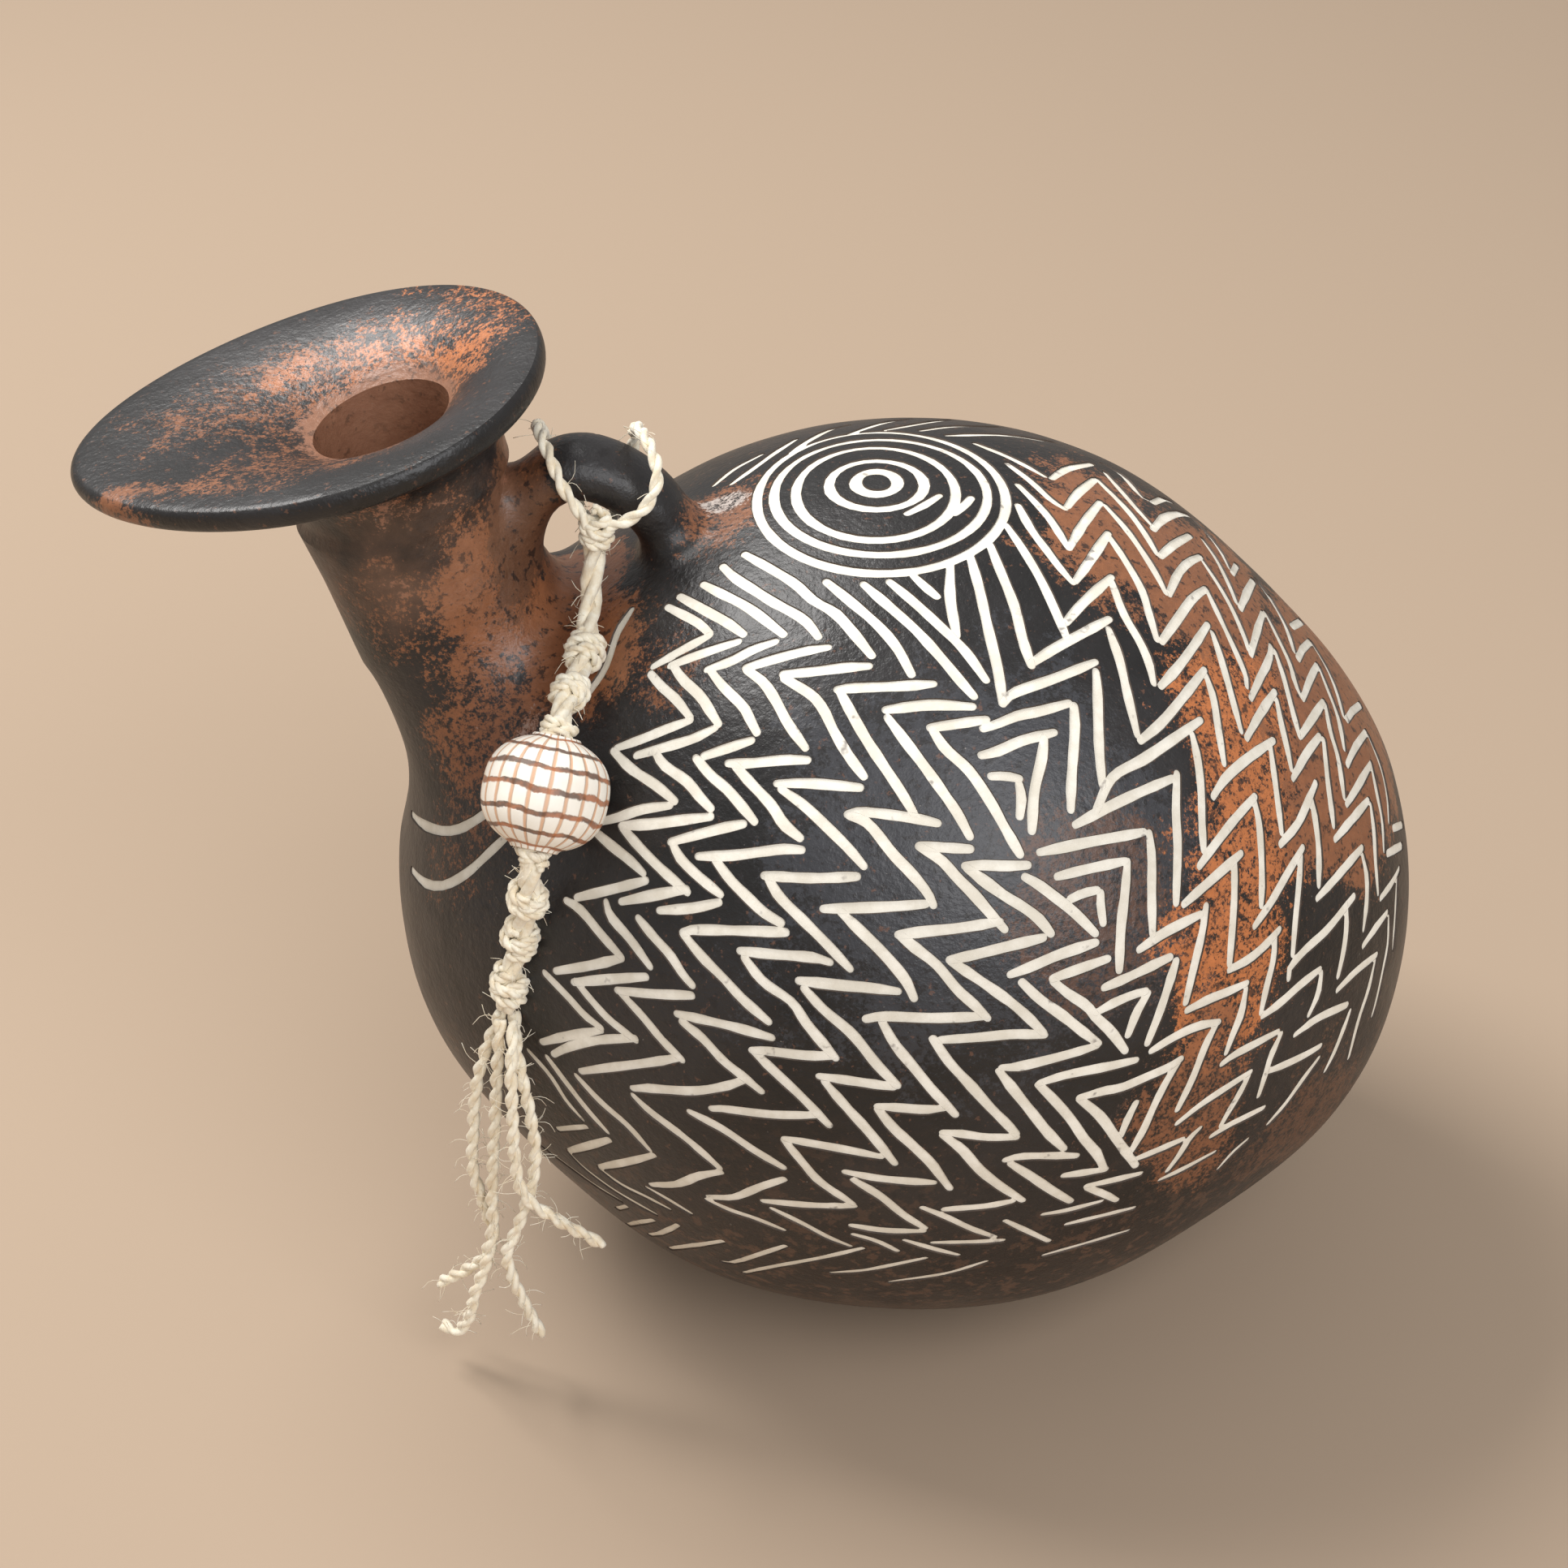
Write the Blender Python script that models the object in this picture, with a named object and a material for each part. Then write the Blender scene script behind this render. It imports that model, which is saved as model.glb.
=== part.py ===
"""Askos: a hand-built hollow jug of fired clay that stands on a small flat foot.

The body is an egg lying on its side with its blunt axis dipping to the right.
A leaning neck grows out of its left shoulder and opens into a wide oval lip that
runs out to a pouring lobe, and a loop handle stands between the neck and the
shoulder.  A knotted twine hangs from the handle and carries one clay bead.

Metres, +Z up.  The origin is the middle of the foot, the neck leans towards -X
and the vessel is the same on both sides of the XZ plane.
"""
import bpy
import bmesh
import math
from mathutils import Vector

# Body
BODY_HALF_LENGTH = 0.0994
BODY_HALF_WIDTH = 0.0870
BODY_HALF_HEIGHT = 0.0875
BODY_DIP = math.radians(6.7)
BODY_PINCH = 0.055
BODY_ARCH = 0.0035
FOOT_DIAMETER = 0.064
WALL = 0.0055
FLOOR_THICKNESS = 0.0065

# Neck and lip
NECK_LEAN = math.radians(14.5)
NECK_DIAMETER = 0.0400
NECK_EDGE_SHARE = 0.07
NECK_TAPER = 0.0045
NECK_BURIED = -0.0780
NECK_ROOT_RUN = 0.0260
NECK_ROOT_SPREAD = 0.0120
NECK_REACH = -0.0985
RIM_HEIGHT = 0.1905
THROAT_DIAMETER = 0.026
THROAT_REACH = 0.82
LIP_LENGTH = 0.0895
LIP_WIDTH = 0.0735
LIP_RUN_OUT = 0.0125
LIP_TAPER = 0.16
LIP_THICKNESS = 0.0046
FLARE_HEIGHT = 0.016
FUNNEL_DEPTH = 0.0085

# Handle
HANDLE_WIDTH = 0.0155
HANDLE_THICKNESS = 0.0110
HANDLE_ROUTE = (
    (-0.0720, 0.1360), (-0.0738, 0.1480), (-0.0733, 0.1600), (-0.0690, 0.1700),
    (-0.0610, 0.1738), (-0.0515, 0.1695), (-0.0445, 0.1600), (-0.0395, 0.1490),
)
HANDLE_ROOT_SWELL = 0.45

# Twine and bead
TWINE_DIAMETER = 0.0020
TRUNK_DIAMETER = 0.0050
BEAD_DIAMETER = 0.0225
BEAD_LENGTH = 0.0205
BEAD_BORE_CLEARANCE = 0.0008
TRUNK_ROUTE = (
    (-0.0578, -0.0115, 0.1672), (-0.0584, -0.0114, 0.1622), (-0.0589, -0.0122, 0.1568),
    (-0.0593, -0.0150, 0.1532), (-0.0595, -0.0190, 0.1512), (-0.0599, -0.0244, 0.1495),
    (-0.0610, -0.0302, 0.1484), (-0.0621, -0.0358, 0.1484), (-0.0630, -0.0412, 0.1484),
    (-0.0638, -0.0461, 0.1469), (-0.0648, -0.0494, 0.1427), (-0.0659, -0.0527, 0.1385),
    (-0.0670, -0.0560, 0.1343), (-0.0680, -0.0593, 0.1301), (-0.0688, -0.0600, 0.1250),
    (-0.0695, -0.0584, 0.1195), (-0.0704, -0.0567, 0.1140), (-0.0715, -0.0557, 0.1085),
    (-0.0727, -0.0558, 0.1035), (-0.0738, -0.0568, 0.0985), (-0.0744, -0.0579, 0.0935),
)
BEAD_STOP = 11
LOOP_ROUTES = {
    "cord_loop_left": (
        (-0.0592, -0.0127, 0.1686), (-0.0612, -0.0113, 0.1716), (-0.0637, -0.0101, 0.1752),
        (-0.0658, -0.0075, 0.1795), (-0.0675, -0.0030, 0.1812), (-0.0686, 0.0020, 0.1806),
        (-0.0688, 0.0072, 0.1778), (-0.0680, 0.0108, 0.1732), (-0.0664, 0.0112, 0.1684),
        (-0.0642, 0.0090, 0.1645), (-0.0618, 0.0050, 0.1622), (-0.0602, 0.0000, 0.1616),
        (-0.0597, -0.0048, 0.1626), (-0.0595, -0.0082, 0.1636),
    ),
    "cord_loop_right": (
        (-0.0563, -0.0127, 0.1686), (-0.0527, -0.0120, 0.1692), (-0.0489, -0.0112, 0.1718),
        (-0.0468, -0.0094, 0.1760), (-0.0474, -0.0056, 0.1792), (-0.0492, -0.0008, 0.1802),
        (-0.0507, 0.0044, 0.1792), (-0.0515, 0.0089, 0.1755), (-0.0520, 0.0108, 0.1708),
        (-0.0530, 0.0100, 0.1662), (-0.0545, 0.0060, 0.1630), (-0.0558, 0.0010, 0.1618),
        (-0.0566, -0.0040, 0.1622), (-0.0568, -0.0082, 0.1634),
    ),
}
STRAND_ROUTES = {
    "cord_strand_1": (
        (-0.0757, -0.0567, 0.0919), (-0.0776, -0.0570, 0.0870), (-0.0799, -0.0572, 0.0800),
        (-0.0814, -0.0572, 0.0722), (-0.0823, -0.0572, 0.0625), (-0.0828, -0.0572, 0.0545),
        (-0.0818, -0.0572, 0.0480), (-0.0805, -0.0572, 0.0415), (-0.0803, -0.0568, 0.0355),
        (-0.0829, -0.0555, 0.0285), (-0.0878, -0.0530, 0.0225), (-0.0916, -0.0502, 0.0176),
    ),
    "cord_strand_2": (
        (-0.0757, -0.0591, 0.0919), (-0.0761, -0.0597, 0.0880), (-0.0768, -0.0599, 0.0803),
        (-0.0777, -0.0599, 0.0690), (-0.0786, -0.0599, 0.0583), (-0.0793, -0.0599, 0.0480),
        (-0.0795, -0.0599, 0.0396), (-0.0813, -0.0597, 0.0315), (-0.0838, -0.0590, 0.0235),
        (-0.0856, -0.0572, 0.0150), (-0.0884, -0.0552, 0.0092), (-0.0914, -0.0530, 0.0090),
    ),
    "cord_strand_3": (
        (-0.0732, -0.0567, 0.0919), (-0.0730, -0.0592, 0.0880), (-0.0722, -0.0622, 0.0825),
        (-0.0709, -0.0633, 0.0739), (-0.0702, -0.0635, 0.0642), (-0.0713, -0.0632, 0.0553),
        (-0.0743, -0.0628, 0.0446), (-0.0768, -0.0625, 0.0370), (-0.0759, -0.0615, 0.0290),
        (-0.0736, -0.0600, 0.0195), (-0.0715, -0.0587, 0.0120),
    ),
    "cord_strand_4": (
        (-0.0732, -0.0591, 0.0919), (-0.0734, -0.0622, 0.0890), (-0.0737, -0.0650, 0.0830),
        (-0.0738, -0.0660, 0.0741), (-0.0738, -0.0662, 0.0640), (-0.0728, -0.0662, 0.0562),
        (-0.0697, -0.0660, 0.0518), (-0.0647, -0.0650, 0.0465), (-0.0585, -0.0635, 0.0404),
    ),
}

# Facets
BODY_SEGMENTS = 56
BODY_RINGS = 30
CAVITY_SEGMENTS = 36
CAVITY_RINGS = 18
NECK_SEGMENTS = 40


def clear_scene():
    """Empty the scene of every object."""
    for item in list(bpy.data.objects):
        bpy.data.objects.remove(item, do_unlink=True)


def material(name, colour, roughness):
    """Make a plain Principled material."""
    made = bpy.data.materials.new(name)
    made.use_nodes = True
    shader = made.node_tree.nodes["Principled BSDF"]
    shader.inputs["Base Color"].default_value = (*colour, 1.0)
    shader.inputs["Roughness"].default_value = roughness
    shader.inputs["Metallic"].default_value = 0.0
    return made


def add_object(name, mesh, finish=None):
    """Link a mesh as a named object."""
    item = bpy.data.objects.new(name, mesh)
    bpy.context.scene.collection.objects.link(item)
    if finish is not None:
        mesh.materials.append(finish)
    return item


def loft(name, rings):
    """Join rings of equal count into one closed skin; a ring of one point is a pole."""
    shape = bmesh.new()
    rows = [[shape.verts.new(point) for point in ring] for ring in rings]
    for low, high in zip(rows, rows[1:]):
        count = max(len(low), len(high))
        for i in range(count):
            j = (i + 1) % count
            corners = [low[i % len(low)], low[j % len(low)], high[j % len(high)], high[i % len(high)]]
            unique = list(dict.fromkeys(corners))
            shape.faces.new(unique)
    for row in (rows[0], rows[-1]):
        if len(row) > 2:
            shape.faces.new(row)
    bmesh.ops.recalc_face_normals(shape, faces=shape.faces)
    mesh = bpy.data.meshes.new(name)
    shape.to_mesh(mesh)
    shape.free()
    return mesh


def body_centre_height():
    """Height of the egg's middle that leaves a foot of FOOT_DIAMETER when it is cut flat."""
    lowest = math.hypot(BODY_HALF_LENGTH * math.sin(BODY_DIP), BODY_HALF_HEIGHT * math.cos(BODY_DIP))
    share = FOOT_DIAMETER / 2 / BODY_HALF_LENGTH
    return lowest * math.sqrt(1 - share ** 2)


def egg_rings(half_length, half_width, half_height, centre, segments, count):
    """Rings of the egg along its dipping axis, with a slight pinch towards both ends."""
    along = Vector((math.cos(BODY_DIP), 0.0, -math.sin(BODY_DIP)))
    upward = Vector((math.sin(BODY_DIP), 0.0, math.cos(BODY_DIP)))
    across = Vector((0.0, 1.0, 0.0))
    rings = [[centre - along * half_length - upward * BODY_ARCH]]
    for i in range(1, count):
        share = -math.cos(math.pi * i / count)
        girth = math.sqrt(1 - share ** 2) * (1 - BODY_PINCH * (1 - math.cos(2 * math.pi * share ** 2)) / 2)
        middle = centre + along * (half_length * share) - upward * (BODY_ARCH * share ** 2)
        ring = []
        for k in range(segments):
            turn = 2 * math.pi * k / segments
            ring.append(middle + across * (half_width * girth * math.sin(turn))
                        + upward * (half_height * girth * math.cos(turn)))
        rings.append(ring)
    rings.append([centre + along * half_length - upward * BODY_ARCH])
    return rings


def make_body():
    """The solid egg, cut flat underneath for the foot."""
    centre = Vector((0.0, 0.0, body_centre_height()))
    rings = egg_rings(BODY_HALF_LENGTH, BODY_HALF_WIDTH, BODY_HALF_HEIGHT, centre, BODY_SEGMENTS, BODY_RINGS)
    mesh = loft("vessel", rings)
    shape = bmesh.new()
    shape.from_mesh(mesh)
    everything = shape.verts[:] + shape.edges[:] + shape.faces[:]
    cut = bmesh.ops.bisect_plane(shape, geom=everything, dist=1e-6, plane_co=(0, 0, 0),
                                 plane_no=(0, 0, -1), clear_outer=True)
    border = [item for item in cut["geom_cut"] if isinstance(item, bmesh.types.BMEdge)]
    bmesh.ops.contextual_create(shape, geom=border)
    bmesh.ops.recalc_face_normals(shape, faces=shape.faces)
    shape.to_mesh(mesh)
    shape.free()
    return mesh


def neck_frame():
    """Origin and axes of the neck: the origin is on the rim plane, above the throat."""
    origin = Vector((NECK_REACH, 0.0, RIM_HEIGHT))
    along = Vector((math.cos(NECK_LEAN), 0.0, math.sin(NECK_LEAN)))
    across = Vector((0.0, 1.0, 0.0))
    upward = Vector((-math.sin(NECK_LEAN), 0.0, math.cos(NECK_LEAN)))
    return origin, along, across, upward


def lip_point(turn):
    """The lip's outline in the rim plane, wide at the throat and tapering to the pouring lobe."""
    along = LIP_LENGTH / 2 * math.cos(turn) - LIP_RUN_OUT
    across = LIP_WIDTH / 2 * math.sin(turn) * (1 + LIP_TAPER * math.cos(turn))
    return along, across


def neck_ring(height, spread, radius):
    """A ring between a circle round the throat (spread 0) and the lip's outline (spread 1)."""
    origin, along, across, upward = neck_frame()
    ring = []
    for k in range(NECK_SEGMENTS):
        turn = 2 * math.pi * k / NECK_SEGMENTS
        lip_along, lip_across = lip_point(turn)
        u = (1 - spread) * radius * math.cos(turn) + spread * lip_along
        v = (1 - spread) * radius * math.sin(turn) + spread * lip_across
        ring.append(origin + along * u + across * v + upward * height)
    return ring


def neck_stem_ring(share):
    """A ring of the stem, from under the lip (share 0) to its root inside the body (share 1)."""
    origin, along, across, upward = neck_frame()
    top = -LIP_THICKNESS - FLARE_HEIGHT
    height = top + (NECK_BURIED - top) * share
    left = NECK_DIAMETER / 2 * (1 + NECK_EDGE_SHARE) - NECK_TAPER * share
    right = NECK_DIAMETER / 2 * (1 - NECK_EDGE_SHARE) + NECK_ROOT_RUN * share ** 3
    front = NECK_DIAMETER / 2 + NECK_ROOT_SPREAD * share ** 3
    ring = []
    for k in range(NECK_SEGMENTS):
        turn = 2 * math.pi * k / NECK_SEGMENTS
        u = (right - left) / 2 + (right + left) / 2 * math.cos(turn)
        ring.append(origin + along * u + across * (front * math.sin(turn)) + upward * height)
    return ring


def make_neck():
    """The neck with its flared lip and the funnel inside the lip, as one closed solid."""
    outer = NECK_DIAMETER / 2
    throat = THROAT_DIAMETER / 2
    rings = [neck_stem_ring(1 - i / 7) for i in range(7)]
    steps = 7
    for i in range(steps + 1):
        angle = math.pi / 2 * i / steps
        spread = 0.96 * (1 - math.cos(angle)) ** 1.15
        height = -LIP_THICKNESS - FLARE_HEIGHT * (1 - math.sin(angle))
        rings.append(neck_ring(height, spread, outer))
    edge = LIP_THICKNESS / 2
    rings.append(neck_ring(-1.5 * edge, 0.99, outer))
    rings.append(neck_ring(-edge, 1.0, outer))
    rings.append(neck_ring(-0.4 * edge, 0.99, throat))
    for i in range(steps + 1):
        share = i / steps
        spread = 0.95 * (1 - share) ** 1.1
        height = -FUNNEL_DEPTH * share ** 2.2
        rings.append(neck_ring(height, spread, throat * (1 - 0.12 * share)))
    return loft("neck", rings)


def smooth_route(points, count):
    """Points spaced evenly along a Catmull-Rom curve through the route."""
    route = [Vector(point) for point in points]
    ends = [route[0] * 2 - route[1]] + route + [route[-1] * 2 - route[-2]]
    fine = []
    for i in range(len(route) - 1):
        a, b, c, d = ends[i:i + 4]
        for k in range(24):
            t = k / 24
            fine.append(0.5 * (2 * b + (c - a) * t + (2 * a - 5 * b + 4 * c - d) * t ** 2
                               + (3 * b - a - 3 * c + d) * t ** 3))
    fine.append(route[-1])
    lengths = [0.0]
    for a, b in zip(fine, fine[1:]):
        lengths.append(lengths[-1] + (b - a).length)
    spaced = []
    j = 0
    for k in range(count):
        target = lengths[-1] * k / (count - 1)
        while j < len(fine) - 2 and lengths[j + 1] < target:
            j += 1
        t = (target - lengths[j]) / (lengths[j + 1] - lengths[j])
        spaced.append(fine[j].lerp(fine[j + 1], min(1.0, t)))
    return spaced


def make_handle():
    """The loop handle: an oval roll of clay along its arch, swelling into both roots."""
    middle = smooth_route([(x, 0.0, z) for x, z in HANDLE_ROUTE], 19)
    rings = []
    last = len(middle) - 1
    for i, point in enumerate(middle):
        ahead = middle[min(i + 1, last)] - middle[max(i - 1, 0)]
        side = Vector((0.0, 1.0, 0.0))
        outward = ahead.normalized().cross(side)
        swell = 1 + HANDLE_ROOT_SWELL * abs(2 * i / last - 1) ** 5
        rings.append([point + side * (HANDLE_WIDTH / 2 * swell * math.cos(2 * math.pi * k / 16))
                      + outward * (HANDLE_THICKNESS / 2 * swell * math.sin(2 * math.pi * k / 16))
                      for k in range(16)])
    return loft("handle", rings)


def make_cavity():
    """The hollow: a smaller egg that leaves the wall and the floor."""
    centre_height = body_centre_height()
    top = centre_height + BODY_HALF_HEIGHT - WALL
    half_height = (top - FLOOR_THICKNESS) / 2
    centre = Vector((0.0, 0.0, FLOOR_THICKNESS + half_height))
    rings = egg_rings(BODY_HALF_LENGTH - WALL, BODY_HALF_WIDTH - WALL, half_height, centre,
                      CAVITY_SEGMENTS, CAVITY_RINGS)
    return loft("cavity", rings)


def make_throat():
    """The bore of the neck, from above the funnel down into the hollow."""
    throat = THROAT_DIAMETER / 2
    buried = -(RIM_HEIGHT - body_centre_height()) * THROAT_REACH
    return loft("throat", [neck_ring(buried, 0.0, throat), neck_ring(LIP_THICKNESS, 0.0, throat)])


def combine(base, tool, operation):
    """Leave a live Boolean on the base and keep its tool as a hidden guide."""
    tool.hide_render = True
    tool.display_type = "WIRE"
    step = base.modifiers.new(tool.name, "BOOLEAN")
    step.operation = operation
    step.solver = "EXACT"
    step.object = tool


def make_vessel(clay):
    """The fired-clay vessel in one piece, hollow and open at the throat."""
    vessel = add_object("vessel", make_body(), clay)
    combine(vessel, add_object("neck", make_neck()), "UNION")
    combine(vessel, add_object("handle", make_handle()), "UNION")
    combine(vessel, add_object("cavity", make_cavity()), "DIFFERENCE")
    combine(vessel, add_object("throat", make_throat()), "DIFFERENCE")
    return vessel


def make_cord(name, route, diameter, pitch, finish):
    """A plain tube with filled ends along a smooth curve through the route."""
    length = sum((Vector(b) - Vector(a)).length for a, b in zip(route, route[1:]))
    points = smooth_route(route, max(3, round(length / pitch) + 1))
    line = bpy.data.curves.new(name, "CURVE")
    line.dimensions = "3D"
    line.bevel_depth = diameter / 2
    line.bevel_resolution = 2
    line.use_fill_caps = True
    spline = line.splines.new("POLY")
    spline.points.add(len(points) - 1)
    for point, place in zip(spline.points, points):
        point.co = (*place, 1.0)
    item = bpy.data.objects.new(name, line)
    bpy.context.scene.collection.objects.link(item)
    line.materials.append(finish)
    return item


def make_bead(finish):
    """The barrel bead, threaded on the trunk with a clear bore."""
    place = Vector(TRUNK_ROUTE[BEAD_STOP])
    axis = (Vector(TRUNK_ROUTE[BEAD_STOP - 1]) - Vector(TRUNK_ROUTE[BEAD_STOP + 1])).normalized()
    turn = axis.to_track_quat("Z", "X")
    bore = TRUNK_DIAMETER / 2 + BEAD_BORE_CLEARANCE
    profile = [(bore, -BEAD_LENGTH / 2 + 0.0010)]
    steps = 10
    for i in range(steps + 1):
        height = -math.cos(math.pi * i / steps)
        radius = BEAD_DIAMETER / 2 * (1 - abs(height) ** 2.6) ** (1 / 2.0)
        profile.append((max(radius, bore + 0.0016), height * BEAD_LENGTH / 2))
    profile.append((bore, BEAD_LENGTH / 2 - 0.0010))
    segments = 28
    shape = bmesh.new()
    rows = [[shape.verts.new(place + turn @ Vector((radius * math.cos(2 * math.pi * k / segments),
                                                    radius * math.sin(2 * math.pi * k / segments), height)))
             for k in range(segments)] for radius, height in profile]
    for low, high in zip(rows, rows[1:] + rows[:1]):
        for k in range(segments):
            j = (k + 1) % segments
            shape.faces.new((low[k], low[j], high[j], high[k]))
    bmesh.ops.recalc_face_normals(shape, faces=shape.faces)
    mesh = bpy.data.meshes.new("bead")
    shape.to_mesh(mesh)
    shape.free()
    return add_object("bead", mesh, finish)


def main():
    """Build every piece."""
    clear_scene()
    clay = material("burnished_clay", (0.045, 0.040, 0.038), 0.42)
    twine = material("hemp_twine", (0.72, 0.64, 0.50), 0.9)
    glaze = material("bead_clay", (0.80, 0.74, 0.64), 0.5)
    make_vessel(clay)
    make_cord("cord_trunk", TRUNK_ROUTE, TRUNK_DIAMETER, 0.0045, twine)
    for name, route in (*LOOP_ROUTES.items(), *STRAND_ROUTES.items()):
        make_cord(name, route, TWINE_DIAMETER, 0.0050, twine)
    make_bead(glaze)


main()
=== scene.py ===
"""Askos: the dressed vessel, its incised and paste-filled ornament, its twine and its bead."""

import logging
import math
import random
from dataclasses import dataclass, field
from enum import Enum

import bmesh
import bpy
from mathutils import Matrix, Vector, noise
from mathutils.bvhtree import BVHTree


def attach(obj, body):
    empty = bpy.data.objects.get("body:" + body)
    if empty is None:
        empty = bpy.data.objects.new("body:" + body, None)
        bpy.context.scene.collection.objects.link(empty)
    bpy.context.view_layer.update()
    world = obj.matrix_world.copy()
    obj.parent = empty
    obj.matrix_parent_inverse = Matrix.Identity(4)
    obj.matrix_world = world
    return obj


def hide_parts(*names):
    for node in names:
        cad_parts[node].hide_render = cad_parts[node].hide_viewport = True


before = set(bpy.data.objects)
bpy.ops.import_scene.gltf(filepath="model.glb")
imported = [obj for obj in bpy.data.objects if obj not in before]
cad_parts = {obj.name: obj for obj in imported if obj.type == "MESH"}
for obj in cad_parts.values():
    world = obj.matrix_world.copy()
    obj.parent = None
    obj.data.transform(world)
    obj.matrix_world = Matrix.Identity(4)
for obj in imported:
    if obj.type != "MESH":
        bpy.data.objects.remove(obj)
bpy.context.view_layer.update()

LOG = logging.getLogger("askos")
TURN = 2 * math.pi

Point = tuple[float, float, float]
Colour = tuple[float, float, float, float]
Span = tuple[float, float]
Pixel = tuple[float, float]
Stroke = tuple[Pixel, ...]

PHOTO_SIDE = 1932
EDGE_SLOT = 1
PASTE_SLOT = 2
PASTE_FACETS = (2, 3, 4, 5)


class Slot(Enum):
    """Material slots of the record."""
    CLAY = "clay"
    TWINE = "twine"
    BEAD = "bead"


class Solver(Enum):
    """Boolean solvers that the vessel is cut with."""
    EXACT = "EXACT"
    MANIFOLD = "MANIFOLD"


@dataclass(frozen=True)
class View:
    """The photograph's camera."""
    lens: float = 80.0
    sensor: float = 36.0
    elevation: float = math.radians(36.0)
    distance: float = 0.676
    aim: Point = (-0.0240, 0.0, 0.1022)

    @property
    def forward(self) -> Vector:
        """Direction of sight."""
        return Vector((0.0, math.cos(self.elevation), -math.sin(self.elevation)))

    @property
    def place(self) -> Vector:
        """Where the camera stands."""
        return Vector(self.aim) - self.forward * self.distance

    def ray(self, pixel: Pixel) -> Vector:
        """Direction of the ray through a pixel of the photograph.

        Args:
            pixel: Column and row in the photograph.

        Returns:
            The unit direction.
        """
        focal = self.lens / self.sensor * PHOTO_SIDE
        upward = Vector((0.0, math.sin(self.elevation), math.cos(self.elevation)))
        across = Vector((1.0, 0.0, 0.0))
        half = PHOTO_SIDE / 2
        return (self.forward * focal + across * (pixel[0] - half) - upward * (pixel[1] - half)).normalized()

    def build(self) -> bpy.types.Object:
        """Make the camera and look through it.

        Returns:
            The camera object.
        """
        lens = bpy.data.cameras.new("camera")
        lens.lens = self.lens
        lens.sensor_width = self.sensor
        lens.clip_start = 0.01
        lens.dof.use_dof = False
        item = bpy.data.objects.new("camera", lens)
        bpy.context.scene.collection.objects.link(item)
        item.location = self.place
        item.rotation_euler = (math.pi / 2 - self.elevation, 0.0, 0.0)
        bpy.context.scene.camera = item
        return item


VIEW = View()

FAN_LEFT: tuple[Stroke, ...] = (
    ((917, 682), (951, 701), (980, 719), (1002, 739), (1028, 754), (1048, 775), (1074, 807)),
    ((890, 697), (905, 711), (930, 727), (952, 741), (980, 756), (995, 767), (1008, 784)),
    ((866, 719), (887, 730), (915, 744), (937, 759), (965, 781)),
    ((837, 734), (875, 755), (895, 766), (916, 781)), ((874, 782), (840, 800), (805, 820)),
    ((909, 790), (887, 797), (852, 809), (826, 819)), ((955, 790), (927, 800), (900, 814), (871, 824)),
    ((1020, 797), (990, 802), (952, 812), (919, 822)), ((1070, 820), (1040, 822), (1000, 827), (965, 830)),
    ((1150, 842), (1102, 845), (1052, 847), (1032, 849)),
)
ROW_B: tuple[Stroke, ...] = (
    ((801, 830), (815, 846), (832, 861), (850, 884)),
    ((829, 820), (840, 836), (862, 857), (875, 877), (885, 892)),
    ((875, 826), (890, 845), (915, 870), (924, 887), (932, 902)),
    ((920, 825), (940, 840), (955, 862), (970, 890), (992, 921)),
    ((966, 835), (1000, 856), (1015, 875), (1027, 900), (1045, 930), (1064, 956)),
    ((1035, 852), (1050, 880), (1067, 910), (1090, 945), (1110, 975), (1126, 1002)),
    ((850, 887), (822, 897), (790, 910), (759, 921)), ((881, 896), (852, 910), (815, 921), (784, 930)),
    ((925, 912), (900, 920), (867, 931)), ((994, 936), (965, 936), (922, 940), (897, 940)),
    ((1059, 970), (1000, 965), (957, 965)),
    ((1155, 1014), (1132, 1009), (1100, 1004), (1060, 1000), (1045, 1003)),
)
ROW_C: tuple[Stroke, ...] = (
    ((755, 925), (777, 947), (807, 967), (831, 987)),
    ((806, 925), (817, 942), (845, 962), (860, 980), (875, 996)),
    ((857, 934), (875, 955), (895, 972), (915, 995), (929, 1012)),
    ((906, 944), (925, 965), (950, 992), (965, 1015), (985, 1032)),
    ((962, 972), (990, 992), (1020, 1020), (1045, 1045), (1064, 1067)),
    ((1047, 1005), (1070, 1015), (1100, 1052), (1122, 1075), (1142, 1099), (1150, 1115)),
    ((875, 1006), (840, 1010), (802, 1015), (765, 1017)),
    ((915, 1015), (890, 1020), (852, 1030), (826, 1037)),
    ((987, 1047), (965, 1046), (940, 1049), (900, 1054), (860, 1055)),
    ((1055, 1080), (1000, 1082), (942, 1079)), ((1140, 1114), (1100, 1117), (1050, 1119), (1015, 1120)),
)
ROW_D: tuple[Stroke, ...] = (
    ((734, 1026), (750, 1040), (775, 1060), (792, 1076)),
    ((766, 1020), (790, 1047), (815, 1072), (846, 1099)),
    ((827, 1037), (837, 1057), (860, 1080), (887, 1102)),
    ((881, 1060), (900, 1085), (920, 1105), (940, 1124), (961, 1137)),
    ((946, 1082), (960, 1105), (990, 1135), (1015, 1160), (1047, 1194)),
    ((1036, 1124), (1065, 1152), (1090, 1177), (1115, 1207), (1126, 1230)),
    ((795, 1085), (752, 1096), (710, 1106)), ((845, 1096), (815, 1101), (765, 1111)),
    ((885, 1112), (852, 1119), (812, 1122)), ((967, 1149), (915, 1147), (855, 1146), (841, 1149)),
    ((1022, 1186), (1000, 1180), (950, 1176), (912, 1172)),
    ((1106, 1222), (1065, 1217), (1040, 1215), (985, 1209)),
)
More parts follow.
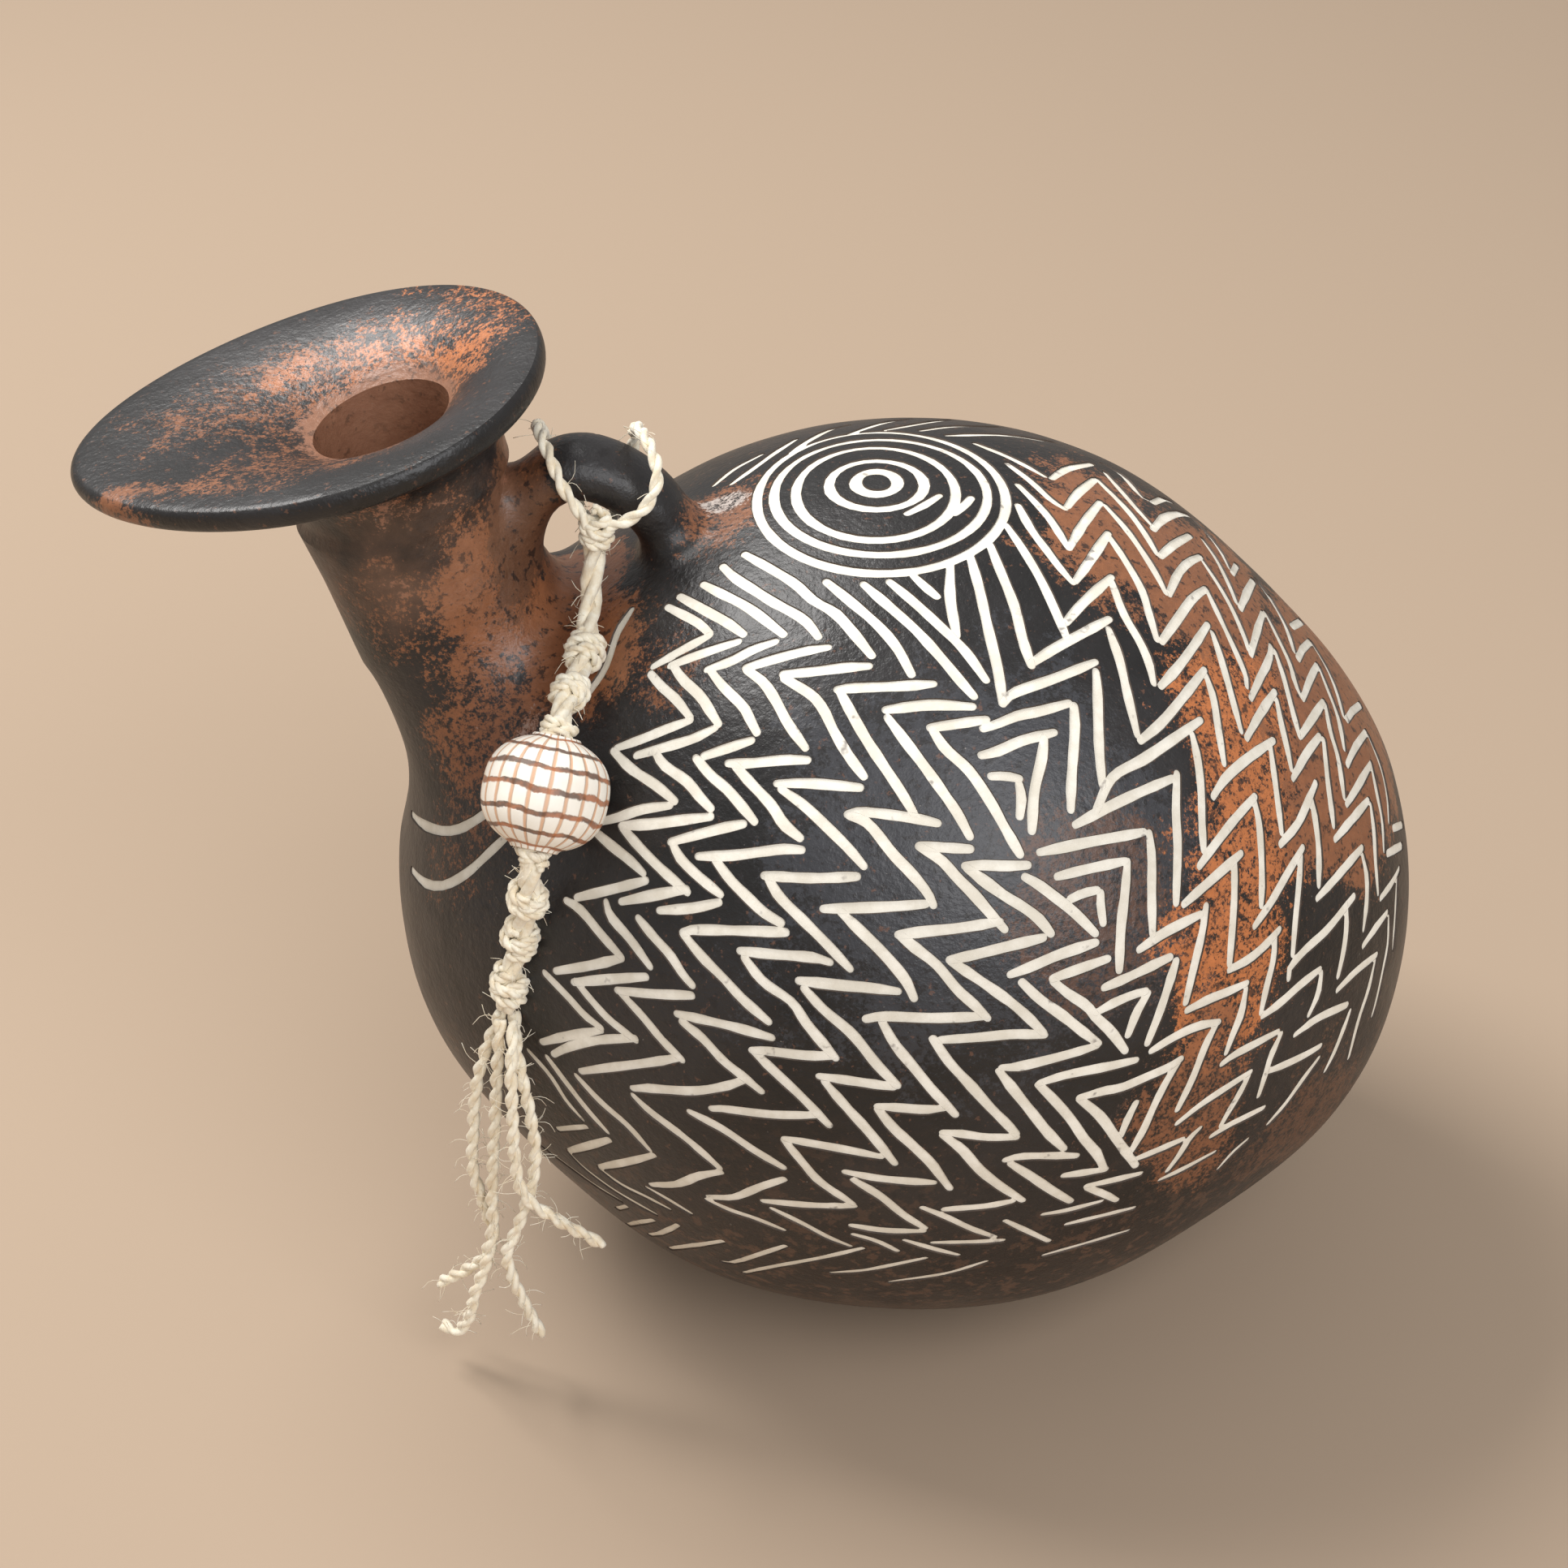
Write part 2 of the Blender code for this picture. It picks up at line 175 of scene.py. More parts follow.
ROW_E: tuple[Stroke, ...] = (
    ((697, 1110), (715, 1122), (740, 1152), (765, 1180)),
    ((746, 1112), (752, 1130), (775, 1157), (800, 1191)),
    ((786, 1132), (805, 1155), (825, 1177), (840, 1200), (852, 1214)),
    ((841, 1151), (865, 1180), (890, 1205), (915, 1232), (946, 1259)),
    ((917, 1181), (940, 1210), (975, 1235), (992, 1260), (1010, 1282), (1029, 1304)),
    ((991, 1219), (1015, 1245), (1050, 1275), (1080, 1312), (1105, 1338)),
    ((765, 1181), (727, 1190), (684, 1197)), ((795, 1204), (752, 1207), (706, 1211)),
    ((851, 1227), (800, 1225), (760, 1221)), ((950, 1279), (900, 1265), (852, 1254), (834, 1250)),
    ((1025, 1302), (990, 1301), (947, 1296), (927, 1295)), ((1100, 1340), (1065, 1335), (1010, 1327)),
)
ROW_F: tuple[Stroke, ...] = (
    ((671, 1200), (700, 1230), (720, 1252), (740, 1267)),
    ((709, 1210), (727, 1232), (750, 1257), (782, 1282)),
    ((762, 1222), (790, 1252), (815, 1282), (839, 1306)),
    ((840, 1260), (865, 1280), (890, 1307), (915, 1327), (937, 1345)),
    ((929, 1297), (955, 1322), (985, 1350), (1021, 1387)),
    ((1016, 1334), (1040, 1362), (1070, 1395), (1102, 1434)), ((740, 1270), (700, 1277), (667, 1285)),
    ((782, 1280), (740, 1282), (702, 1290), (681, 1300)),
    ((835, 1304), (800, 1310), (752, 1316), (715, 1321)),
    ((915, 1332), (890, 1340), (852, 1345), (802, 1342), (779, 1342)),
    ((1005, 1375), (950, 1374), (890, 1367), (877, 1367)), ((1085, 1426), (1040, 1417), (967, 1404)),
)
ROW_G: tuple[Stroke, ...] = (
    ((674, 1304), (697, 1335), (722, 1367), (747, 1395)),
    ((710, 1327), (740, 1359), (772, 1387), (799, 1417)),
    ((780, 1351), (800, 1370), (840, 1400), (865, 1421), (885, 1439)),
    ((850, 1371), (890, 1392), (927, 1417), (964, 1439)),
    ((966, 1406), (990, 1435), (1010, 1457), (1050, 1484)), ((750, 1405), (727, 1412), (701, 1419)),
    ((805, 1424), (775, 1432), (739, 1439)), ((887, 1445), (860, 1450), (835, 1460), (802, 1461)),
    ((965, 1454), (935, 1464), (905, 1476), (874, 1476)), ((1052, 1487), (1000, 1486), (941, 1481)),
)
CHAIN_D: tuple[Stroke, ...] = (
    ((1198, 870), (1145, 868), (1092, 874)),
    ((1094, 884), (1115, 912), (1140, 945), (1165, 980), (1180, 1002), (1195, 1030)),
    ((1195, 1046), (1160, 1044), (1134, 1042)),
    ((1133, 1043), (1160, 1060), (1180, 1082), (1200, 1102), (1220, 1125), (1238, 1145)),
    ((1232, 1136), (1180, 1144), (1140, 1148), (1108, 1152)),
    ((1110, 1154), (1130, 1170), (1155, 1190), (1180, 1220), (1200, 1238), (1217, 1255)),
    ((1215, 1253), (1150, 1255), (1090, 1253), (1068, 1256)),
    ((1087, 1260), (1103, 1288), (1126, 1316), (1148, 1343), (1166, 1362), (1177, 1374)),
    ((1165, 1366), (1140, 1368), (1110, 1366), (1082, 1364)),
    ((1082, 1368), (1101, 1391), (1124, 1412), (1146, 1433), (1158, 1449), (1170, 1465)),
    ((1150, 1458), (1115, 1456), (1077, 1452), (1042, 1445)),
    ((1052, 1455), (1085, 1475), (1112, 1497), (1139, 1514)), ((1137, 1518), (1090, 1517), (1050, 1511)),
)
CHAIN_E: tuple[Stroke, ...] = (
    ((1215, 886), (1175, 892), (1147, 896)),
    ((1150, 900), (1165, 922), (1195, 950), (1222, 990), (1237, 1017), (1257, 1052)),
    ((1266, 1066), (1240, 1067), (1210, 1066), (1190, 1067)),
    ((1192, 1070), (1215, 1087), (1240, 1105), (1260, 1117), (1280, 1132), (1295, 1150)),
    ((1285, 1156), (1240, 1167), (1200, 1177), (1171, 1183)),
    ((1172, 1185), (1195, 1200), (1220, 1217), (1245, 1235), (1265, 1252), (1286, 1273)),
    ((1287, 1276), (1250, 1275), (1205, 1279), (1160, 1282)),
    ((1150, 1281), (1170, 1310), (1195, 1337), (1220, 1365), (1240, 1385), (1252, 1398)),
    ((1252, 1402), (1215, 1402), (1185, 1398), (1162, 1396)),
    ((1162, 1400), (1185, 1417), (1207, 1442), (1232, 1462), (1260, 1480)),
    ((1247, 1481), (1215, 1487), (1165, 1491)),
)
CHAIN_G: tuple[Stroke, ...] = (
    ((1264, 1081), (1280, 1090), (1300, 1105), (1325, 1125), (1350, 1150)),
    ((1350, 1162), (1305, 1177), (1270, 1192), (1246, 1201)),
    ((1260, 1211), (1282, 1232), (1310, 1252), (1335, 1272), (1354, 1286)),
    ((1352, 1289), (1327, 1297), (1290, 1307), (1255, 1315), (1235, 1316)),
    ((1231, 1320), (1252, 1347), (1272, 1372), (1292, 1397), (1311, 1416)),
    ((1326, 1425), (1290, 1425), (1257, 1426), (1240, 1430)),
    ((1246, 1435), (1270, 1450), (1295, 1467), (1319, 1481)), ((1365, 1182), (1320, 1198), (1298, 1206)),
    ((1299, 1210), (1317, 1225), (1340, 1240), (1349, 1252), (1370, 1272), (1387, 1295)),
    ((1352, 1248), (1372, 1237), (1395, 1227), (1412, 1222)), ((1415, 1225), (1402, 1247), (1391, 1275)),
    ((1400, 1307), (1365, 1315), (1315, 1325), (1282, 1335)),
    ((1280, 1337), (1300, 1357), (1320, 1380), (1337, 1405), (1352, 1422), (1361, 1441)),
    ((1362, 1442), (1335, 1446), (1312, 1449)), ((1405, 1447), (1372, 1455), (1340, 1462)),
    ((1341, 1465), (1360, 1472), (1376, 1480)),
)
TRIANGLES: tuple[Stroke, ...] = (
    ((1212, 897), (1230, 891), (1255, 881), (1280, 876), (1317, 866)),
    ((1324, 870), (1325, 900), (1321, 960), (1320, 997)),
    ((1210, 930), (1230, 925), (1260, 912), (1299, 902)),
    ((1287, 910), (1284, 935), (1275, 975), (1272, 1023)), ((1222, 956), (1240, 956), (1256, 959)),
    ((1256, 966), (1259, 983), (1257, 1005)), ((1351, 827), (1353, 852), (1355, 920), (1359, 967)),
    ((1282, 1050), (1325, 1041), (1350, 1036), (1390, 1029), (1410, 1025)),
    ((1417, 1027), (1420, 1057), (1420, 1102), (1421, 1150)), ((1304, 1080), (1340, 1071), (1387, 1061)),
    ((1390, 1062), (1387, 1100), (1382, 1145), (1380, 1195)), ((1320, 1108), (1335, 1101), (1352, 1097)),
    ((1357, 1101), (1357, 1115), (1360, 1137)), ((1326, 1016), (1365, 995), (1405, 976), (1445, 959)),
    ((1451, 954), (1450, 1000), (1452, 1045), (1450, 1112)),
    ((1352, 997), (1372, 957), (1410, 935), (1447, 910), (1480, 887)),
    ((1470, 905), (1477, 937), (1481, 975), (1482, 1012), (1484, 1047)),
    ((1442, 1180), (1390, 1205), (1362, 1217)), ((1450, 1185), (1440, 1217), (1430, 1247), (1415, 1285)),
    ((1420, 1295), (1450, 1277), (1477, 1265), (1502, 1260)),
    ((1500, 1262), (1487, 1287), (1470, 1330), (1452, 1367)),
    ((1331, 1353), (1365, 1344), (1382, 1341), (1415, 1327), (1440, 1316), (1455, 1306)),
    ((1331, 1355), (1357, 1377), (1377, 1405), (1400, 1437)),
    ((1452, 1310), (1437, 1335), (1422, 1365), (1410, 1392), (1394, 1420)),
    ((1400, 1360), (1390, 1380), (1382, 1400)),
)
FAN_RIGHT: tuple[Stroke, ...] = (
    ((1018, 716), (1050, 742), (1082, 770), (1105, 797), (1123, 830)),
    ((1064, 719), (1100, 750), (1130, 777), (1160, 810), (1185, 840), (1200, 857)),
    ((1096, 716), (1125, 740), (1160, 772), (1190, 802), (1215, 837)),
    ((1126, 709), (1140, 722), (1154, 734)), ((1171, 695), (1171, 737), (1179, 782)),
    ((1195, 682), (1207, 725), (1217, 770), (1230, 825), (1236, 866)),
    ((1236, 866), (1250, 853), (1300, 835), (1350, 815)),
    ((1220, 670), (1232, 700), (1250, 745), (1260, 785), (1271, 819)),
    ((1272, 816), (1300, 798), (1337, 778), (1367, 762)),
    ((1240, 646), (1260, 675), (1282, 712), (1300, 750), (1314, 783)),
    ((1314, 766), (1335, 742), (1370, 710)),
    ((1255, 622), (1270, 650), (1290, 677), (1305, 697), (1322, 717)),
    ((1325, 716), (1340, 695), (1366, 656)), ((1255, 597), (1275, 617), (1295, 640), (1317, 675)),
    ((1318, 674), (1335, 645), (1356, 618)), ((1242, 571), (1270, 592), (1295, 615), (1312, 626)),
    ((1315, 624), (1328, 607), (1349, 590)), ((1202, 546), (1235, 559), (1262, 572), (1287, 586)),
    ((1296, 589), (1315, 577), (1345, 571)),
)
CHAINS_RIGHT: tuple[Stroke, ...] = (
    ((1362, 582), (1380, 602), (1400, 625), (1419, 646)),
    ((1421, 652), (1435, 637), (1452, 632), (1465, 635)),
    ((1352, 590), (1387, 625), (1410, 655), (1426, 682)), ((1430, 685), (1447, 670), (1467, 659)),
    ((1362, 622), (1387, 650), (1410, 682), (1427, 710), (1437, 730)),
    ((1441, 732), (1452, 707), (1465, 692), (1480, 685)),
    ((1367, 660), (1387, 690), (1407, 725), (1417, 757), (1426, 787)),
    ((1432, 790), (1452, 762), (1470, 737), (1486, 725)),
    ((1370, 715), (1385, 755), (1405, 790), (1416, 815), (1422, 841)),
    ((1431, 845), (1452, 822), (1472, 795), (1489, 769)),
    ((1367, 775), (1380, 812), (1390, 855), (1402, 905)),
    ((1406, 912), (1432, 890), (1460, 857), (1485, 825)),
    ((1482, 664), (1500, 690), (1515, 720), (1524, 742)), ((1529, 750), (1535, 735), (1545, 715)),
    ((1519, 707), (1525, 695), (1535, 690)),
    ((1482, 690), (1502, 720), (1520, 752), (1535, 787), (1539, 800)),
    ((1542, 806), (1549, 780), (1557, 755)),
    ((1487, 725), (1502, 757), (1520, 795), (1535, 830), (1537, 845)),
    ((1542, 860), (1555, 832), (1565, 812), (1567, 796)),
    ((1495, 780), (1505, 810), (1517, 852), (1530, 900)), ((1537, 909), (1552, 882), (1572, 852)),
    ((1487, 832), (1496, 860), (1502, 897), (1509, 940)),
    ((1496, 981), (1510, 960), (1535, 937), (1570, 912)),
    ((1560, 755), (1575, 785), (1590, 817), (1597, 842), (1604, 858)),
    ((1606, 861), (1615, 837), (1624, 819)), ((1572, 802), (1582, 832), (1590, 862), (1602, 907)),
    ((1604, 906), (1620, 882), (1632, 864)), ((1574, 862), (1580, 892), (1587, 922), (1592, 947)),
    ((1594, 959), (1610, 930), (1627, 907)), ((1632, 912), (1637, 962), (1642, 1000), (1644, 1017)),
    ((1646, 1034), (1665, 1012), (1687, 986)), ((1566, 917), (1572, 962), (1577, 1000), (1580, 1025)),
    ((1579, 1040), (1600, 1015), (1615, 982), (1622, 965)),
    ((1634, 867), (1640, 900), (1650, 935), (1657, 982)), ((1660, 991), (1672, 972), (1690, 941)),
    ((1661, 942), (1670, 922), (1684, 902)), ((1626, 822), (1637, 850), (1650, 885), (1657, 922)),
    ((1600, 812), (1607, 797), (1615, 790)), ((1660, 887), (1670, 872), (1677, 868)),
    ((1690, 940), (1697, 975), (1704, 1012), (1706, 1047)),
    ((1690, 992), (1694, 1025), (1696, 1062), (1699, 1100)), ((1702, 1107), (1717, 1087), (1725, 1070)),
    ((1546, 985), (1552, 1012), (1555, 1050), (1556, 1087), (1555, 1115)),
    ((1479, 1067), (1497, 1042), (1522, 1010), (1547, 982)),
    ((1460, 1114), (1485, 1092), (1510, 1070), (1530, 1052)),
    ((1522, 1062), (1522, 1100), (1520, 1137), (1516, 1187)),
    ((1516, 1195), (1540, 1182), (1560, 1165), (1577, 1146)),
    ((1572, 1152), (1570, 1182), (1562, 1215), (1555, 1247)),
    ((1557, 1252), (1580, 1235), (1602, 1215), (1627, 1195)), ((1629, 1200), (1625, 1225), (1614, 1250)),
    ((1547, 1141), (1567, 1112), (1587, 1077), (1606, 1045)),
    ((1604, 1055), (1601, 1095), (1597, 1137), (1594, 1175)),
    ((1589, 1205), (1591, 1192), (1610, 1170), (1637, 1145), (1669, 1105)),
    ((1660, 1115), (1660, 1145), (1656, 1175), (1650, 1202)),
    ((1617, 985), (1622, 1012), (1626, 1050), (1626, 1090)),
    ((1624, 1107), (1640, 1090), (1660, 1067), (1679, 1045)),
    ((1680, 1055), (1685, 1080), (1685, 1112), (1681, 1145)), ((1681, 1165), (1695, 1145), (1710, 1125)),
    ((1712, 1132), (1711, 1162), (1705, 1195), (1697, 1232), (1692, 1250)),
    ((1649, 1220), (1672, 1197), (1697, 1177)), ((1695, 1185), (1687, 1220), (1675, 1257), (1663, 1303)),
    ((1597, 1275), (1625, 1255), (1660, 1239)), ((1664, 1247), (1657, 1267), (1645, 1297), (1634, 1319)),
    ((1487, 1117), (1482, 1150), (1472, 1192), (1462, 1235)),
    ((1405, 1170), (1435, 1150), (1460, 1137), (1480, 1127)),
    ((1464, 1245), (1490, 1232), (1515, 1222), (1537, 1212)),
    ((1536, 1220), (1530, 1250), (1520, 1275), (1512, 1297)),
    ((1507, 1311), (1522, 1300), (1547, 1287), (1575, 1272)),
    ((1579, 1275), (1567, 1302), (1560, 1325), (1552, 1350)),
    ((1562, 1321), (1585, 1312), (1610, 1300), (1627, 1290)),
    ((1625, 1305), (1605, 1332), (1585, 1360), (1564, 1384)),
    ((1452, 1384), (1480, 1362), (1510, 1342), (1541, 1322)),
    ((1539, 1327), (1527, 1350), (1515, 1370), (1506, 1386)),
    ((1494, 1400), (1515, 1387), (1535, 1377), (1557, 1366)), ((1397, 1430), (1422, 1420), (1457, 1405)),
    ((1479, 1391), (1465, 1405), (1455, 1422), (1440, 1442)),
)
FINE_STROKES: tuple[Stroke, ...] = (
    ((651, 1296), (677, 1326), (697, 1357), (717, 1380)), ((722, 1389), (687, 1392)),
    ((667, 1412), (700, 1437), (735, 1462), (765, 1480)),
    ((701, 1421), (720, 1440), (752, 1464), (780, 1481), (807, 1496)),
    ((739, 1441), (765, 1460), (795, 1475), (824, 1490)), ((797, 1464), (820, 1477), (850, 1495)),
    ((871, 1479), (900, 1492), (930, 1502), (965, 1516)),
    ((951, 1490), (990, 1509), (1020, 1525), (1047, 1536)), ((772, 1487), (737, 1495)),
    ((805, 1504), (762, 1511)), ((835, 1510), (815, 1520), (800, 1522)),
    ((890, 1530), (865, 1534), (825, 1539)), ((967, 1536), (940, 1545), (905, 1556), (890, 1555)),
    ((1062, 1539), (1015, 1550), (950, 1562), (917, 1569)),
    ((1140, 1551), (1102, 1559), (1065, 1566), (1025, 1569)), ((1052, 1522), (1080, 1530), (1105, 1542)),
    ((1137, 1489), (1165, 1500), (1195, 1514), (1225, 1525)), ((1235, 1529), (1200, 1531), (1150, 1532)),
    ((1115, 1529), (1152, 1540), (1180, 1547)), ((1357, 1481), (1315, 1492), (1286, 1497)),
    ((1239, 1505), (1260, 1515), (1292, 1530)), ((1397, 1489), (1365, 1497), (1315, 1509)),
    ((1390, 1517), (1340, 1532), (1287, 1547)), ((1215, 1555), (1165, 1570), (1097, 1580)),
    ((1430, 1454), (1460, 1440), (1497, 1420)), ((1502, 1440), (1520, 1420), (1537, 1405)),
)
EDGE_STROKES: tuple[Stroke, ...] = (
    ((822, 747), (840, 756), (860, 767), (874, 780)), ((825, 992), (790, 997), (760, 1007), (740, 1012)),
    ((1167, 536), (1215, 535), (1250, 537), (1300, 545)), ((1135, 530), (1175, 525), (1232, 526)),
    ((1092, 529), (1150, 519), (1185, 516)), ((1047, 534), (1087, 521), (1122, 516)),
    ((976, 556), (992, 545), (1020, 530), (1045, 524)), ((902, 595), (930, 575), (955, 557), (980, 541)),
    ((880, 597), (905, 577), (937, 560)), ((1360, 572), (1385, 587), (1405, 610), (1418, 617)),
    ((1420, 619), (1432, 614), (1445, 619)), ((1467, 637), (1490, 660), (1505, 680), (1515, 700)),
    ((1565, 735), (1585, 772), (1595, 802)), ((1549, 715), (1567, 740), (1582, 765)),
    ((1592, 772), (1604, 765)), ((1617, 792), (1635, 822), (1647, 850), (1656, 882)),
    ((1687, 907), (1702, 945), (1710, 982), (1712, 1012)), ((1717, 1021), (1729, 1016)),
    ((1710, 1052), (1728, 1042)), ((1722, 1082), (1720, 1125), (1717, 1168)),
    ((777, 752), (760, 780), (740, 832), (690, 890)),
)
NECK_LINES: tuple[Stroke, ...] = (
    ((507, 1003), (520, 1016), (545, 1024), (570, 1019), (600, 1000), (635, 975)),
    ((507, 1072), (522, 1088), (545, 1091), (575, 1075), (600, 1052), (630, 1024)),
)
RING_DASHES: tuple[Stroke, ...] = (
    ((1118, 632), (1138, 622), (1157, 610)), ((1176, 632), (1188, 622), (1196, 613)),
)
# Middle, half sizes and share of the full width of each ring.
RINGS: tuple[tuple[Pixel, Pixel, float], ...] = (
    ((1080, 594), (26, 14), 1.25),
    ((1080, 597), (59, 30), 1.05),
    ((1079, 608), (99, 57), 1.0),
    ((1085, 612), (132, 71), 1.0),
    ((1086, 619), (154, 87), 1.0),
)

TRUNK_ROUTE: tuple[Point, ...] = (
    (-0.0578, -0.0115, 0.1672), (-0.0584, -0.0114, 0.1622), (-0.0589, -0.0122, 0.1568),
    (-0.0593, -0.0150, 0.1532), (-0.0595, -0.0190, 0.1512), (-0.0599, -0.0244, 0.1495),
    (-0.0610, -0.0302, 0.1484), (-0.0621, -0.0358, 0.1484), (-0.0630, -0.0412, 0.1484),
    (-0.0638, -0.0461, 0.1469), (-0.0648, -0.0494, 0.1427), (-0.0659, -0.0527, 0.1385),
    (-0.0670, -0.0560, 0.1343), (-0.0680, -0.0593, 0.1301), (-0.0688, -0.0600, 0.1250),
    (-0.0695, -0.0584, 0.1195), (-0.0704, -0.0567, 0.1140), (-0.0715, -0.0557, 0.1085),
    (-0.0727, -0.0558, 0.1035), (-0.0738, -0.0568, 0.0985), (-0.0744, -0.0579, 0.0935),
)
BEAD_STOP = 11
LOOP_ROUTES: dict[str, tuple[Point, ...]] = {
    "cord_loop_left": (
        (-0.0592, -0.0127, 0.1686), (-0.0612, -0.0113, 0.1716), (-0.0637, -0.0101, 0.1752),
        (-0.0658, -0.0075, 0.1795), (-0.0675, -0.0030, 0.1812), (-0.0686, 0.0020, 0.1806),
        (-0.0688, 0.0072, 0.1778), (-0.0680, 0.0108, 0.1732), (-0.0664, 0.0112, 0.1684),
        (-0.0642, 0.0090, 0.1645), (-0.0618, 0.0050, 0.1622), (-0.0602, 0.0000, 0.1616),
        (-0.0597, -0.0048, 0.1626), (-0.0595, -0.0082, 0.1636),
    ),
    "cord_loop_right": (
        (-0.0563, -0.0127, 0.1686), (-0.0527, -0.0120, 0.1692), (-0.0489, -0.0112, 0.1718),
        (-0.0468, -0.0094, 0.1760), (-0.0474, -0.0056, 0.1792), (-0.0492, -0.0008, 0.1802),
        (-0.0507, 0.0044, 0.1792), (-0.0515, 0.0089, 0.1755), (-0.0520, 0.0108, 0.1708),
        (-0.0530, 0.0100, 0.1662), (-0.0545, 0.0060, 0.1630), (-0.0558, 0.0010, 0.1618),
        (-0.0566, -0.0040, 0.1622), (-0.0568, -0.0082, 0.1634),
    ),
}
STRAND_ROUTES: dict[str, tuple[Point, ...]] = {
    "cord_strand_1": (
        (-0.0757, -0.0567, 0.0919), (-0.0776, -0.0570, 0.0870), (-0.0799, -0.0572, 0.0800),
        (-0.0814, -0.0572, 0.0722), (-0.0823, -0.0572, 0.0625), (-0.0828, -0.0572, 0.0545),
        (-0.0818, -0.0572, 0.0480), (-0.0805, -0.0572, 0.0415), (-0.0803, -0.0568, 0.0355),
        (-0.0829, -0.0555, 0.0285), (-0.0878, -0.0530, 0.0225), (-0.0916, -0.0502, 0.0176),
    ),
    "cord_strand_2": (
        (-0.0757, -0.0591, 0.0919), (-0.0761, -0.0597, 0.0880), (-0.0768, -0.0599, 0.0803),
        (-0.0777, -0.0599, 0.0690), (-0.0786, -0.0599, 0.0583), (-0.0793, -0.0599, 0.0480),
        (-0.0795, -0.0599, 0.0396), (-0.0813, -0.0597, 0.0315), (-0.0838, -0.0590, 0.0235),
        (-0.0856, -0.0572, 0.0150), (-0.0884, -0.0552, 0.0092), (-0.0914, -0.0530, 0.0090),
    ),
    "cord_strand_3": (
        (-0.0732, -0.0567, 0.0919), (-0.0730, -0.0592, 0.0880), (-0.0722, -0.0622, 0.0825),
        (-0.0709, -0.0633, 0.0739), (-0.0702, -0.0635, 0.0642), (-0.0713, -0.0632, 0.0553),
        (-0.0743, -0.0628, 0.0446), (-0.0768, -0.0625, 0.0370), (-0.0759, -0.0615, 0.0290),
        (-0.0736, -0.0600, 0.0195), (-0.0715, -0.0587, 0.0120),
    ),
    "cord_strand_4": (
        (-0.0732, -0.0591, 0.0919), (-0.0734, -0.0622, 0.0890), (-0.0737, -0.0650, 0.0830),
        (-0.0738, -0.0660, 0.0741), (-0.0738, -0.0662, 0.0640), (-0.0728, -0.0662, 0.0562),
        (-0.0697, -0.0660, 0.0518), (-0.0647, -0.0650, 0.0465), (-0.0585, -0.0635, 0.0404),
    ),
}


def deselect() -> None:
    """Leave nothing selected or active."""
    for item in bpy.context.selected_objects:
        item.select_set(False)
    bpy.context.view_layer.objects.active = None


def activate(item: bpy.types.Object) -> None:
    """Make one object the only selected and the active one.

    Args:
        item: The object.
    """
    deselect()
    item.select_set(True)
    bpy.context.view_layer.objects.active = item


def link(name: str, mesh: bpy.types.Mesh) -> bpy.types.Object:
    """Put a mesh into the scene.

    Args:
        name: Name of the object.
        mesh: Its mesh.

    Returns:
        The object.
    """
    item = bpy.data.objects.new(name, mesh)
    bpy.context.scene.collection.objects.link(item)
    return item


def loft(name: str, rings: list[list[Vector]]) -> bpy.types.Mesh:
    """Join rings into one closed skin; a ring of one point is a pole.

    Args:
        name: Name of the mesh.
        rings: Rings of equal count, or single points.

    Returns:
        The mesh, facing outwards.
    """
    shape = bmesh.new()
    rows = [[shape.verts.new(point) for point in ring] for ring in rings]
    for low, high in zip(rows, rows[1:]):
        count = max(len(low), len(high))
        for i in range(count):
            j = (i + 1) % count
            corners = [low[i % len(low)], low[j % len(low)], high[j % len(high)], high[i % len(high)]]
            shape.faces.new(list(dict.fromkeys(corners)))
    for row in (rows[0], rows[-1]):
        if len(row) > 2:
            shape.faces.new(row)
    bmesh.ops.recalc_face_normals(shape, faces=shape.faces)
    mesh = bpy.data.meshes.new(name)
    shape.to_mesh(mesh)
    shape.free()
    return mesh


def smooth_route(points: tuple[Point, ...] | list[Vector], pitch: float) -> list[Vector]:
    """Points at an even pitch along a Catmull-Rom curve.

    Args:
        points: The route's own points.
        pitch: Distance between the points that come back.

    Returns:
        The spaced points, with both ends kept.
    """
    route = [Vector(point) for point in points]
    ends = [route[0] * 2 - route[1]] + route + [route[-1] * 2 - route[-2]]
    fine: list[Vector] = []
    for i in range(len(route) - 1):
        a, b, c, d = ends[i:i + 4]
        for k in range(16):
            t = k / 16
            fine.append(0.5 * (2 * b + (c - a) * t + (2 * a - 5 * b + 4 * c - d) * t ** 2
                               + (3 * b - a - 3 * c + d) * t ** 3))
    fine.append(route[-1])
    lengths = [0.0]
    for a, b in zip(fine, fine[1:]):
        lengths.append(lengths[-1] + (b - a).length)
    count = max(3, round(lengths[-1] / pitch) + 1)
    spaced: list[Vector] = []
    j = 0
    for k in range(count):
        target = lengths[-1] * k / (count - 1)
        while j < len(fine) - 2 and lengths[j + 1] < target:
            j += 1
        t = (target - lengths[j]) / max(1e-9, lengths[j + 1] - lengths[j])
        spaced.append(fine[j].lerp(fine[j + 1], min(1.0, t)))
    return spaced


def apply_boolean(base: bpy.types.Object, tool: bpy.types.Object, operation: str, solver: Solver) -> None:
    """Apply a Boolean and remove its tool.

    Args:
        base: The object that is changed.
        tool: The object that it is changed with.
        operation: UNION or DIFFERENCE.
        solver: The solver.
    """
    activate(base)
    step = base.modifiers.new("step", "BOOLEAN")
    step.operation = operation
    step.solver = solver.value
    step.object = tool
    bpy.ops.object.modifier_apply(modifier=step.name)
    mesh = tool.data
    bpy.data.objects.remove(tool, do_unlink=True)
    bpy.data.meshes.remove(mesh)


